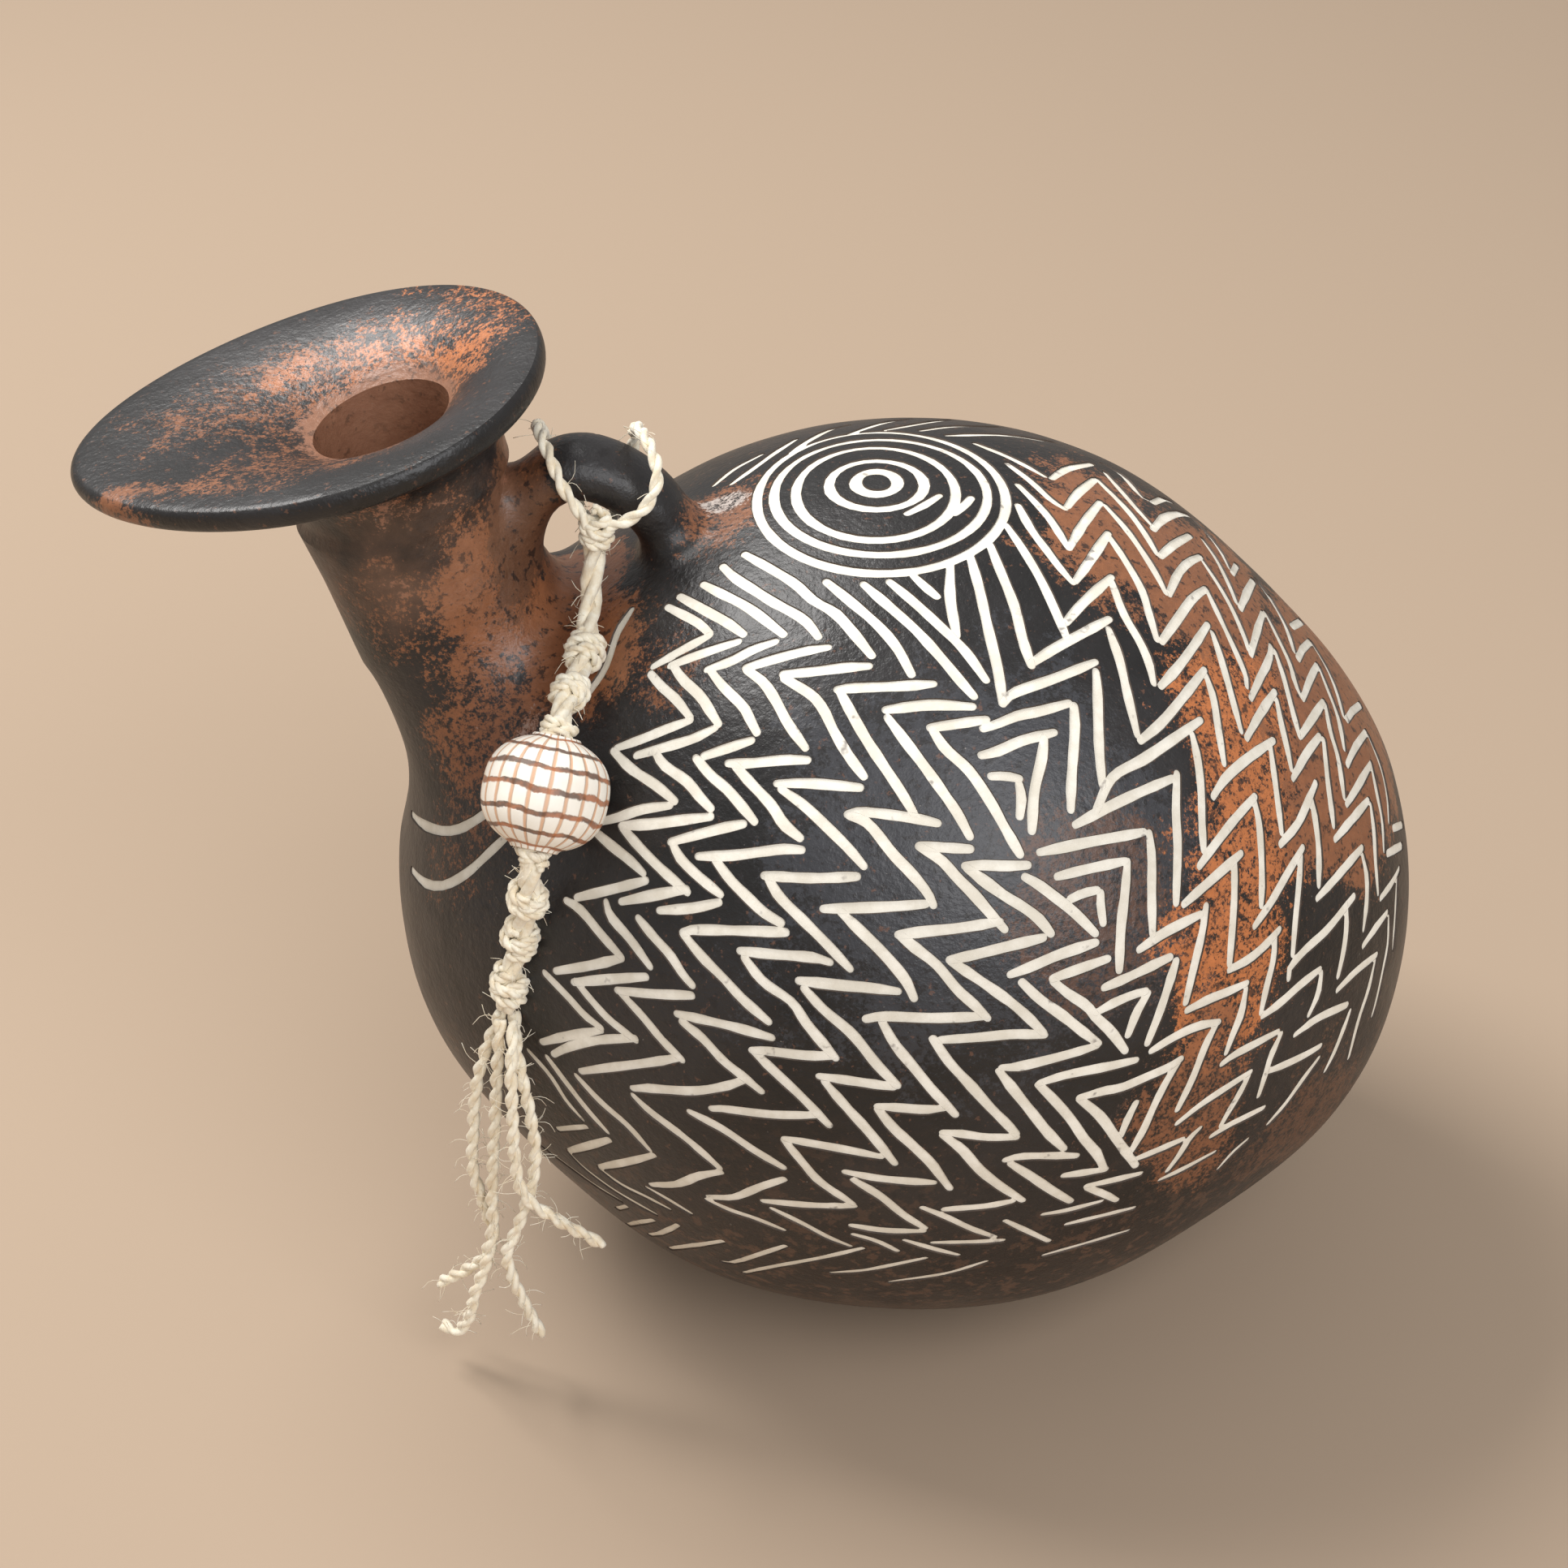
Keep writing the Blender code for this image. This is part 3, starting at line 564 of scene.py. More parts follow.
@dataclass(frozen=True)
class Grain:
    """A noise pattern: its scale, its octaves and how strong the fine ones are."""
    scale: float
    detail: float = 4.0
    roughness: float = 0.6


class NodeSheet:
    """A short way to write a material's or a group's nodes."""

    def __init__(self, tree: bpy.types.NodeTree) -> None:
        """Keep the tree.

        Args:
            tree: The node tree to write in.
        """
        self.tree = tree

    def put(self, kind: str, settings: dict | None = None, **values: object) -> bpy.types.Node:
        """Add a node.

        Args:
            kind: Blender's name of the node type.
            settings: Properties of the node itself.
            values: Socket values or links, with a socket's name written with underscores.

        Returns:
            The node.
        """
        node = self.tree.nodes.new(kind)
        for key, value in (settings or {}).items():
            setattr(node, key, value)
        for key, value in values.items():
            self.feed(node.inputs[key.replace("_", " ")], value)
        return node

    def feed(self, socket: bpy.types.NodeSocket, value: object) -> None:
        """Link or set one socket.

        Args:
            socket: The input socket.
            value: An output socket, or a plain value.
        """
        if isinstance(value, bpy.types.NodeSocket):
            self.tree.links.new(value, socket)
        else:
            socket.default_value = value

    def math(self, operation: str, first: object, second: object = 0.0,
             clamp: bool = False) -> bpy.types.NodeSocket:
        """A Math node's result.

        Args:
            operation: The operation.
            first: First value or socket.
            second: Second value or socket.
            clamp: Whether the result stays within 0 and 1.

        Returns:
            The output socket.
        """
        node = self.tree.nodes.new("ShaderNodeMath")
        node.operation = operation
        node.use_clamp = clamp
        self.feed(node.inputs[0], first)
        self.feed(node.inputs[1], second)
        return node.outputs[0]

    def mix(self, share: object, low: object, high: object) -> bpy.types.NodeSocket:
        """A colour between two others.

        Args:
            share: 0 gives the first colour and 1 the second.
            low: First colour.
            high: Second colour.

        Returns:
            The output socket.
        """
        node = self.tree.nodes.new("ShaderNodeMix")
        node.data_type = "RGBA"
        self.feed(node.inputs[0], share)
        self.feed(node.inputs[6], low)
        self.feed(node.inputs[7], high)
        return node.outputs[2]

    def steps(self, value: object, span: Span) -> bpy.types.NodeSocket:
        """A smooth step from 0 to 1.

        Args:
            value: The value.
            span: Where it starts and where it ends.

        Returns:
            The output socket.
        """
        node = self.tree.nodes.new("ShaderNodeMapRange")
        node.interpolation_type = "SMOOTHSTEP"
        self.feed(node.inputs["Value"], value)
        node.inputs["From Min"].default_value = span[0]
        node.inputs["From Max"].default_value = span[1]
        return node.outputs["Result"]

    def times(self, first: object, second: object) -> bpy.types.NodeSocket:
        """One value times another."""
        return self.math("MULTIPLY", first, second)

    def plus(self, first: object, second: object) -> bpy.types.NodeSocket:
        """One value plus another."""
        return self.math("ADD", first, second)

    def less(self, first: object, second: object) -> bpy.types.NodeSocket:
        """One value less another."""
        return self.math("SUBTRACT", first, second)

    def noise(self, place: object, grain: Grain) -> bpy.types.NodeSocket:
        """A noise value.

        Args:
            place: The coordinates.
            grain: The pattern.

        Returns:
            The output socket.
        """
        node = self.put("ShaderNodeTexNoise", None, Vector=place, Scale=grain.scale, Detail=grain.detail,
                        Roughness=grain.roughness)
        return node.outputs["Fac"]


def make_group(name: str, inputs: tuple[tuple[str, str, object], ...],
               outputs: tuple[tuple[str, str], ...]) -> tuple[bpy.types.NodeTree, NodeSheet, object, object]:
    """Start a shader node group.

    Args:
        name: Name of the group.
        inputs: Name, kind and default of each input.
        outputs: Name and kind of each output.

    Returns:
        The tree, a sheet to write in it, and its input and output nodes.
    """
    tree = bpy.data.node_groups.new(name, "ShaderNodeTree")
    for label, kind, value in inputs:
        socket = tree.interface.new_socket(name=label, in_out="INPUT", socket_type=f"NodeSocket{kind}")
        socket.default_value = value
    for label, kind in outputs:
        tree.interface.new_socket(name=label, in_out="OUTPUT", socket_type=f"NodeSocket{kind}")
    return tree, NodeSheet(tree), tree.nodes.new("NodeGroupInput"), tree.nodes.new("NodeGroupOutput")


def patch_group() -> bpy.types.NodeTree:
    """A rounded patch with a ragged edge.

    Returns:
        The group.
    """
    ragged_edge = Grain(55.0, 6.0)
    raggedness = 4.0
    tree, sheet, start, end = make_group(
        "patch", (("Place", "Vector", (0, 0, 0)), ("Centre", "Vector", (0, 0, 0)),
                  ("Reach", "Vector", (0.05, 0.05, 0.05)), ("Ragged", "Float", 0.35),
                  ("Soft", "Float", 0.35)), (("Mask", "Float"),))
    away = sheet.put("ShaderNodeVectorMath", {"operation": "SUBTRACT"})
    sheet.feed(away.inputs[0], start.outputs["Place"])
    sheet.feed(away.inputs[1], start.outputs["Centre"])
    scaled = sheet.put("ShaderNodeVectorMath", {"operation": "DIVIDE"})
    sheet.feed(scaled.inputs[0], away.outputs[0])
    sheet.feed(scaled.inputs[1], start.outputs["Reach"])
    length = sheet.put("ShaderNodeVectorMath", {"operation": "LENGTH"})
    sheet.feed(length.inputs[0], scaled.outputs[0])
    ripple = sheet.less(sheet.noise(start.outputs["Place"], ragged_edge), 0.5)
    ragged = sheet.times(ripple, start.outputs["Ragged"])
    reach = sheet.plus(length.outputs["Value"], sheet.times(ragged, raggedness))
    inner = sheet.math("DIVIDE", sheet.less(1.0, reach), start.outputs["Soft"])
    sheet.feed(end.inputs["Mask"], sheet.math("ADD", inner, 0.5, clamp=True))
    return tree


def speckle_group() -> bpy.types.NodeTree:
    """Small sharp-edged specks.

    Returns:
        The group.
    """
    sharpness = 14.0
    tree, sheet, start, end = make_group(
        "speckle", (("Place", "Vector", (0, 0, 0)), ("Scale", "Float", 400.0), ("Amount", "Float", 0.4)),
        (("Mask", "Float"),))
    fine = sheet.put("ShaderNodeTexNoise", None, Vector=start.outputs["Place"], Scale=start.outputs["Scale"],
                     Detail=3.0, Roughness=0.65).outputs["Fac"]
    limit = sheet.less(1.0, start.outputs["Amount"])
    over = sheet.times(sheet.less(fine, limit), sharpness)
    sheet.feed(end.inputs["Mask"], sheet.math("ADD", over, 0.0, clamp=True))
    return tree


@dataclass(frozen=True)
class StainAndSheen:
    """One coloured region of the fired clay: most are real stains, some are painted sheen and painted
    highlights.
    """
    centre: Point
    reach: Point
    colour: Point
    strength: float
    cover: float = 0.6
    ragged: float = 0.40
    soft: float = 1.1


@dataclass(frozen=True)
class Specks:
    """One layer of small specks."""
    scale: float
    amount: float
    share: float
    colour: Colour


@dataclass(frozen=True)
class Groups:
    """The shader node groups that the finishes share."""
    patch: bpy.types.NodeTree
    speckle: bpy.types.NodeTree


class MaterialSheet(NodeSheet):
    """A material in the making, with its shader and its Object coordinates."""

    def __init__(self, name: str) -> None:
        """Start a material.

        Args:
            name: Its name.
        """
        self.made = bpy.data.materials.new(name)
        self.made.use_nodes = True
        super().__init__(self.made.node_tree)
        self.shader = self.made.node_tree.nodes["Principled BSDF"]
        self.place = self.put("ShaderNodeTexCoord").outputs["Object"]

    def mask(self, group: bpy.types.NodeTree, **values: object) -> bpy.types.NodeSocket:
        """Place a group and return its mask.

        Args:
            group: The group.
            values: Its inputs.

        Returns:
            Its first output.
        """
        node = self.tree.nodes.new("ShaderNodeGroup")
        node.node_tree = group
        self.feed(node.inputs["Place"], self.place)
        for key, value in values.items():
            self.feed(node.inputs[key], value)
        return node.outputs[0]

    def specks(self, group: bpy.types.NodeTree, colour: object, layer: Specks) -> bpy.types.NodeSocket:
        """Lay specks over a colour.

        Args:
            group: The speckle group.
            colour: The colour below.
            layer: The specks.

        Returns:
            The colour with its specks.
        """
        mask = self.mask(group, Scale=layer.scale, Amount=layer.amount)
        return self.mix(self.times(mask, layer.share), colour, layer.colour)

    def bump(self, height: object, distance: float, strength: float) -> None:
        """Feed a Bump node's normal to the shader.

        Args:
            height: The height.
            distance: Its full height in metres.
            strength: Its strength.
        """
        node = self.put("ShaderNodeBump", None, Height=height, Distance=distance, Strength=strength)
        self.feed(self.shader.inputs["Normal"], node.outputs["Normal"])

    def finish(self, colour: object, roughness: object) -> bpy.types.Material:
        """Give the shader its colour and its roughness.

        Args:
            colour: The base colour.
            roughness: The roughness.

        Returns:
            The material.
        """
        self.feed(self.shader.inputs["Base Color"], colour)
        self.feed(self.shader.inputs["Roughness"], roughness)
        return self.made


@dataclass(frozen=True)
class BurnishedClay:
    """Burnished black clay with red-brown stains, speckles and rubbing, and with painted sheen and painted
    highlights laid like stains.
    """
    cloud: Grain = Grain(24.0, 6.0, 0.62)
    cloud_span: Span = (0.36, 0.66)
    black: Colour = (0.0060, 0.0054, 0.0052, 1)
    smoke: Colour = (0.021, 0.019, 0.0195, 1)
    tide: Grain = Grain(28.0, 5.0)
    tide_height: float = 0.045
    brown_span: Span = (0.030, 0.095)
    brown_share: float = 0.85
    brown: Colour = (0.026, 0.0155, 0.0105, 1)
    fleck_scale: float = 300.0
    fleck_amount: float = 0.47
    fleck_share: float = 0.5
    fleck_grain: Grain = Grain(700.0)
    fleck_colours: tuple[Colour, Colour] = ((0.11, 0.055, 0.032, 1), (0.26, 0.13, 0.075, 1))
    grit: tuple[Grain, Grain] = (Grain(330.0, 6.0, 0.8), Grain(1250.0, 4.0, 0.75))
    stain_span: Span = (0.93, 1.02)
    tint: Grain = Grain(420.0, 6.0, 0.75)
    tint_range: Span = (0.5, 1.35)
    foot_span: Span = (0.022, 0.034)
    foot_share: float = 0.85
    foot: Colour = (0.085, 0.050, 0.032, 1)
    layers: tuple[Specks, ...] = (
        Specks(520.0, 0.44, 0.8, (0.012, 0.010, 0.010, 1)),
        Specks(640.0, 0.37, 0.5, (0.19, 0.085, 0.048, 1)),
        Specks(1000.0, 0.285, 0.55, (0.40, 0.36, 0.33, 1)),
    )
    throat_centre: Point = (-0.0930, 0.0, 0.1660)
    throat_reach: Point = (0.0160, 0.0160, 0.0230)
    throat_edge: Span = (0.25, 0.9)
    throat_share: float = 0.9
    throat_grain: Grain = Grain(210.0, 6.0, 0.75)
    throat_colours: tuple[Colour, Colour] = ((0.24, 0.105, 0.055, 1), (0.52, 0.29, 0.18, 1))
    rub: Grain = Grain(60.0, 6.0, 0.7)
    roughness: Span = (0.27, 0.28)
    gloss: float = 0.55
    grains: tuple[Grain, Grain] = (Grain(800.0, 3.0), Grain(130.0, 5.0, 0.65))
    fine_grain_share: float = 0.4
    relief: float = 0.00042
    relief_strength: float = 0.95

    def lay_stains_and_sheen(self, sheet: MaterialSheet, groups: Groups, colour: object,
                stains_and_sheen: tuple[StainAndSheen, ...]) -> bpy.types.NodeSocket:
        """Lay the stains, the painted sheen and the painted highlights over a colour, broken up by grit.

        Args:
            sheet: The material.
            groups: The shared groups.
            colour: The colour below.
            stains_and_sheen: The stains, painted sheen and painted highlights, in the order that they are
                laid.

        Returns:
            The stained colour.
        """
        coarse, fine = (sheet.times(sheet.noise(sheet.place, grain), 0.5) for grain in self.grit)
        grit = sheet.plus(coarse, fine)
        # Some of these layers are painted sheen and painted highlights, tinted into the clay's colour like
        # the stains.
        for tinted_patch in stains_and_sheen:
            mask = sheet.mask(groups.patch, Centre=tinted_patch.centre, Reach=tinted_patch.reach, Ragged=tinted_patch.ragged,
                              Soft=tinted_patch.soft)
            broken = sheet.steps(sheet.plus(grit, sheet.times(mask, tinted_patch.cover)), self.stain_span)
            dull, bright = (tuple(min(1.0, part * share) for part in tinted_patch.colour)
                            for share in self.tint_range)
            tint = sheet.mix(sheet.noise(sheet.place, self.tint), (*dull, 1), (*bright, 1))
            colour = sheet.mix(sheet.times(broken, tinted_patch.strength), colour, tint)
        return colour

    def build(self, groups: Groups, stains_and_sheen: tuple[StainAndSheen, ...]) -> bpy.types.Material:
        """Make the material.

        Args:
            groups: The shared groups.
            stains_and_sheen: Its stains, painted sheen and painted highlights, in the order that they are
                laid.

        Returns:
            The material.
        """
        sheet = MaterialSheet("burnished_clay")
        place = sheet.place
        cloud = sheet.steps(sheet.noise(place, self.cloud), self.cloud_span)
        colour = sheet.mix(cloud, self.black, self.smoke)
        high = sheet.put("ShaderNodeSeparateXYZ", None, Vector=place).outputs["Z"]
        tide = sheet.times(sheet.less(sheet.noise(place, self.tide), 0.5), self.tide_height)
        low_band = sheet.plus(high, tide)
        brownish = sheet.less(1.0, sheet.steps(low_band, self.brown_span))
        colour = sheet.mix(sheet.times(brownish, self.brown_share), colour, self.brown)
        fleck = sheet.mask(groups.speckle, Scale=self.fleck_scale, Amount=self.fleck_amount)
        rusty = sheet.mix(sheet.noise(place, self.fleck_grain), *self.fleck_colours)
        colour = sheet.mix(sheet.times(fleck, sheet.times(brownish, self.fleck_share)), colour, rusty)
        colour = self.lay_stains_and_sheen(sheet, groups, colour, stains_and_sheen)
        plain = sheet.less(1.0, sheet.steps(low_band, self.foot_span))
        colour = sheet.mix(sheet.times(plain, self.foot_share), colour, self.foot)
        for layer in self.layers:
            colour = sheet.specks(groups.speckle, colour, layer)
        inside = sheet.mask(groups.patch, Centre=self.throat_centre, Reach=self.throat_reach,
                            Ragged=self.throat_edge[0], Soft=self.throat_edge[1])
        warm = sheet.mix(sheet.noise(place, self.throat_grain), *self.throat_colours)
        colour = sheet.mix(sheet.times(inside, self.throat_share), colour, warm)
        sheet.shader.inputs["Specular IOR Level"].default_value = self.gloss
        fine, coarse = (sheet.noise(place, grain) for grain in self.grains)
        sheet.bump(sheet.plus(sheet.times(fine, self.fine_grain_share), coarse), self.relief,
                   self.relief_strength)
        rub = sheet.times(sheet.noise(place, self.rub), self.roughness[1])
        return sheet.finish(colour, sheet.plus(self.roughness[0], rub))


@dataclass(frozen=True)
class GrooveEdge:
    """The dark cut edge of an incised line."""
    cloud: Grain = Grain(400.0)
    colours: tuple[Colour, Colour] = ((0.020, 0.017, 0.015, 1), (0.11, 0.075, 0.055, 1))
    roughness: float = 0.7

    def build(self) -> bpy.types.Material:
        """Make the material."""
        sheet = MaterialSheet("groove_edge")
        return sheet.finish(sheet.mix(sheet.noise(sheet.place, self.cloud), *self.colours), self.roughness)


@dataclass(frozen=True)
class WhitePaste:
    """White paste rubbed into the lines, stained near the foot."""
    cloud: Grain = Grain(160.0, 5.0, 0.65)
    cloud_span: Span = (0.35, 0.7)
    colours: tuple[Colour, Colour] = ((0.77, 0.72, 0.61, 1), (0.93, 0.89, 0.79, 1))
    tide: Grain = Grain(70.0, 4.0)
    tide_height: float = 0.012
    foot_span: Span = (0.028, 0.046)
    foot_share: float = 0.85
    foot: Colour = (0.27, 0.16, 0.085, 1)
    worn: Specks = Specks(210.0, 0.335, 0.7, (0.16, 0.13, 0.12, 1))
    roughness: float = 0.78
    grain: Grain = Grain(700.0, 4.0)
    relief: float = 0.00012
    relief_strength: float = 0.7

    def build(self, groups: Groups) -> bpy.types.Material:
        """Make the material.

        Args:
            groups: The shared groups.

        Returns:
            The material.
        """
        sheet = MaterialSheet("white_paste")
        place = sheet.place
        colour = sheet.mix(sheet.steps(sheet.noise(place, self.cloud), self.cloud_span), *self.colours)
        high = sheet.put("ShaderNodeSeparateXYZ", None, Vector=place).outputs["Z"]
        ragged = sheet.plus(high, sheet.times(sheet.noise(place, self.tide), self.tide_height))
        foot = sheet.less(1.0, sheet.steps(ragged, self.foot_span))
        colour = sheet.mix(sheet.times(foot, self.foot_share), colour, self.foot)
        colour = sheet.specks(groups.speckle, colour, self.worn)
        sheet.bump(sheet.noise(place, self.grain), self.relief, self.relief_strength)
        return sheet.finish(colour, self.roughness)


@dataclass(frozen=True)
class HempTwine:
    """Bleached hemp."""
    cloud: Grain = Grain(420.0, 4.0, 0.6)
    cloud_span: Span = (0.3, 0.7)
    colours: tuple[Colour, Colour] = ((0.84, 0.72, 0.52, 1), (1.0, 0.95, 0.80, 1))
    roughness: float = 0.85
    sheen: float = 0.35
    stretch: Point = (1.0, 1.0, 0.3)
    grain: Grain = Grain(2600.0, 3.0)
    relief: float = 0.00016
    relief_strength: float = 0.9

    def build(self) -> bpy.types.Material:
        """Make the material.

        Returns:
            The material.
        """
        sheet = MaterialSheet("hemp_twine")
        cloud = sheet.steps(sheet.noise(sheet.place, self.cloud), self.cloud_span)
        sheet.shader.inputs["Sheen Weight"].default_value = self.sheen
        stretched = sheet.put("ShaderNodeMapping", None, Vector=sheet.place, Scale=self.stretch).outputs[0]
        sheet.bump(sheet.noise(stretched, self.grain), self.relief, self.relief_strength)
        return sheet.finish(sheet.mix(cloud, *self.colours), self.roughness)


@dataclass(frozen=True)
class BeadClay:
    """Pale clay with fine upright lines and wavy brown bands."""
    cloud: Grain = Grain(300.0)
    colours: tuple[Colour, Colour] = ((0.92, 0.85, 0.72, 1), (1.0, 0.97, 0.90, 1))
    wobble: Grain = Grain(260.0, 4.0)
    wobble_size: float = 0.9
    lines_round: int = 21
    line_span: Span = (0.62, 0.98)
    line_share: float = 0.7
    line: Colour = (0.66, 0.28, 0.085, 1)
    ripples: int = 5
    ripple_size: float = 0.32
    bands: float = 8.5
    band_wobble: float = 3.4
    band_span: Span = (0.58, 0.90)
    band_share: float = 0.9
    band_grain: Grain = Grain(190.0)
    band_grain_span: Span = (0.42, 0.62)
    band_colours: tuple[Colour, Colour] = ((0.10, 0.040, 0.018, 1), (0.44, 0.14, 0.045, 1))
    roughness: float = 0.5
    relief: float = 0.00025
    relief_strength: float = 0.8

    def build(self) -> bpy.types.Material:
        """Make the material.

        Returns:
            The material.
        """
        sheet = MaterialSheet("bead_clay")
        place = sheet.place
        chart = sheet.put("ShaderNodeUVMap", {"uv_map": "round"}).outputs["UV"]
        parts = sheet.put("ShaderNodeSeparateXYZ", None, Vector=chart)
        around, along = parts.outputs["X"], parts.outputs["Y"]
        wobble = sheet.times(sheet.less(sheet.noise(place, self.wobble), 0.5), self.wobble_size)
        base = sheet.mix(sheet.noise(place, self.cloud), *self.colours)
        upright = sheet.math("SINE", sheet.plus(sheet.times(around, TURN * self.lines_round), wobble))
        upright = sheet.steps(upright, self.line_span)
        base = sheet.mix(sheet.times(upright, self.line_share), base, self.line)
        ripple = sheet.times(sheet.math("SINE", sheet.times(around, TURN * self.ripples)), self.ripple_size)
        wave = sheet.plus(sheet.times(along, TURN * self.bands), ripple)
        across = sheet.math("SINE", sheet.plus(wave, sheet.times(wobble, self.band_wobble)))
        across = sheet.steps(across, self.band_span)
        cloud = sheet.steps(sheet.noise(place, self.band_grain), self.band_grain_span)
        umber = sheet.mix(cloud, *self.band_colours)
        base = sheet.mix(sheet.times(across, self.band_share), base, umber)
        sheet.bump(sheet.less(1.0, sheet.math("MAXIMUM", upright, across)), self.relief, self.relief_strength)
        return sheet.finish(base, self.roughness)


@dataclass(frozen=True)
class PaleFloor:
    """The plain pale floor."""
    colour: Colour = (0.43, 0.325, 0.235, 1)
    roughness: float = 0.9

    def build(self) -> bpy.types.Material:
        """Make the material."""
        return MaterialSheet("floor").finish(self.colour, self.roughness)


@dataclass
class Vessel:
    """The hollow clay vessel with its neck, lip, handle and ornament."""
    body_half: Point = (0.0994, 0.0870, 0.0875)
    dip: float = math.radians(6.7)
    pinch: float = 0.055
    arch: float = 0.0035
    foot: float = 0.064
    wall: float = 0.0055
    floor: float = 0.0065
    lean: float = math.radians(14.5)
    neck: float = 0.0400
    edge_share: float = 0.07
    neck_taper: float = 0.0045
    buried: float = -0.0780
    root_run: float = 0.0260
    root_spread: float = 0.0120
    reach: float = -0.0985
    rim: float = 0.1905
    throat: float = 0.026
    throat_reach: float = 0.82
    lip: tuple[float, float] = (0.0895, 0.0735)
    run_out: float = 0.0125
    lip_taper: float = 0.16
    lip_thickness: float = 0.0046
    flare: float = 0.016
    flare_power: float = 1.15
    edge_start: float = 0.93
    funnel: float = 0.0085
    funnel_start: float = 0.915
    funnel_powers: Span = (2.2, 1.1)
    funnel_tuck: float = 0.12
    collar: float = 0.34
    collar_swell: Span = (1.008, 0.10)
    stem_rings: int = 24
    handle: tuple[float, float] = (0.0155, 0.0110)
    handle_swell: float = 0.45
    handle_swell_power: int = 5
    handle_sides: int = 36
    handle_route: tuple[tuple[float, float], ...] = (
        (-.0720, .1360), (-.0738, .1480), (-.0733, .1600), (-.0690, .1700),
        (-.0610, .1738), (-.0515, .1695), (-.0445, .1600), (-.0395, .1490),
    )
    skin: float = 0.0016
    body_rings: tuple[int, int] = (256, 128)
    hollow_rings: tuple[int, int] = (72, 36)
    throat_rings: int = 12
    joint: float = 0.0065
    joint_passes: int = 9
    neck_joint: float = 0.019
    neck_passes: int = 110
    last_passes: int = 2
    hand_waves: tuple[Span, ...] = ((22.0, 0.00045), (75.0, 0.00014))
    stroke_width: float = 0.00215
    fine_share: float = 0.82
    stroke_depth: float = 0.00032
    stroke_above: float = 0.0008
    stroke_profile: tuple[Span, ...] = (
        (-1.0, 0.25), (-0.88, 1.0), (-0.45, 0.93), (0.0, 0.90), (0.45, 0.93), (0.88, 1.0), (1.0, 0.25),
    )
    stroke_uneven: Span = (0.16, 260.0)
    stroke_taper: float = 0.22
    end_angles: Point = (0.55, 1.0, 1.3)
    stroke_pitch: float = 11.0
    ring_pitch: float = 2.6
    line_gap: float = 0.0006
    hidden_limit: float = -0.12
    smooth_angle: float = math.radians(34)
    segments: int = 144
    trees: list[BVHTree] = field(default_factory=list)

    def centre_height(self) -> float:
        """Height of the egg's middle."""
        lowest = math.hypot(self.body_half[0] * math.sin(self.dip), self.body_half[2] * math.cos(self.dip))
        return lowest * math.sqrt(1 - (self.foot / 2 / self.body_half[0]) ** 2)

    def egg(self, half: Point, centre: Vector, segments: int, count: int) -> list[list[Vector]]:
        """Rings of an egg along the dipping axis.

        Args:
            half: Its half length, half width and half height.
            centre: Its middle.
            segments: Points of each ring.
            count: Rings.

        Returns:
            The rings, with a pole at each end.
        """
        along = Vector((math.cos(self.dip), 0.0, -math.sin(self.dip)))
        upward = Vector((math.sin(self.dip), 0.0, math.cos(self.dip)))
        across = Vector((0.0, 1.0, 0.0))
        rings = [[centre - along * half[0] - upward * self.arch]]
        for i in range(1, count):
            share = -math.cos(math.pi * i / count)
            girth = math.sqrt(1 - share ** 2) * (1 - self.pinch * (1 - math.cos(TURN * share ** 2)) / 2)
            middle = centre + along * (half[0] * share) - upward * (self.arch * share ** 2)
            rings.append([middle + across * (half[1] * girth * math.sin(TURN * k / segments))
                          + upward * (half[2] * girth * math.cos(TURN * k / segments))
                          for k in range(segments)])
        rings.append([centre + along * half[0] - upward * self.arch])
        return rings

    def neck_point(self, along: float, across: float, upward: float) -> Vector:
        """A point in the leaning neck's own axes.

        Args:
            along: Along the lip.
            across: Across the lip.
            upward: Up the neck from the rim.

        Returns:
            The point in the frame.
        """
        cosine, sine = math.cos(self.lean), math.sin(self.lean)
        return Vector((self.reach + along * cosine - upward * sine, across,
                       self.rim + along * sine + upward * cosine))

    def neck_ring(self, height: float, spread: float, radius: float) -> list[Vector]:
        """A ring between a circle round the throat and the lip's outline.

        Args:
            height: Height over the rim plane.
            spread: 0 for the circle, 1 for the outline.
            radius: The circle's radius.

        Returns:
            The ring.
        """
        ring = []
        for k in range(self.segments):
            turn = TURN * k / self.segments
            lip_u = self.lip[0] / 2 * math.cos(turn) - self.run_out
            lip_v = self.lip[1] / 2 * math.sin(turn) * (1 + self.lip_taper * math.cos(turn))
            ring.append(self.neck_point((1 - spread) * radius * math.cos(turn) + spread * lip_u,
                                        (1 - spread) * radius * math.sin(turn) + spread * lip_v, height))
        return ring

    def stem_ring(self, share: float) -> list[Vector]:
        """A ring of the stem.

        Args:
            share: 0 under the lip and 1 at its buried root.

        Returns:
            The ring.
        """
        top = -self.lip_thickness - self.flare
        height = top + (self.buried - top) * share
        left = self.neck / 2 * (1 + self.edge_share) - self.neck_taper * share
        right = self.neck / 2 * (1 - self.edge_share) + self.root_run * share ** 3
        front = self.neck / 2 + self.root_spread * share ** 3
        turns = [TURN * k / self.segments for k in range(self.segments)]
        return [self.neck_point((right - left) / 2 + (right + left) / 2 * math.cos(turn),
                                front * math.sin(turn), height) for turn in turns]

    def build_stem(self) -> bpy.types.Mesh:
        """The part of the neck that is rubbed into the body.

        Returns:
            The mesh.
        """
        return loft("stem", [self.stem_ring(1 - i / self.stem_rings) for i in range(self.stem_rings)])

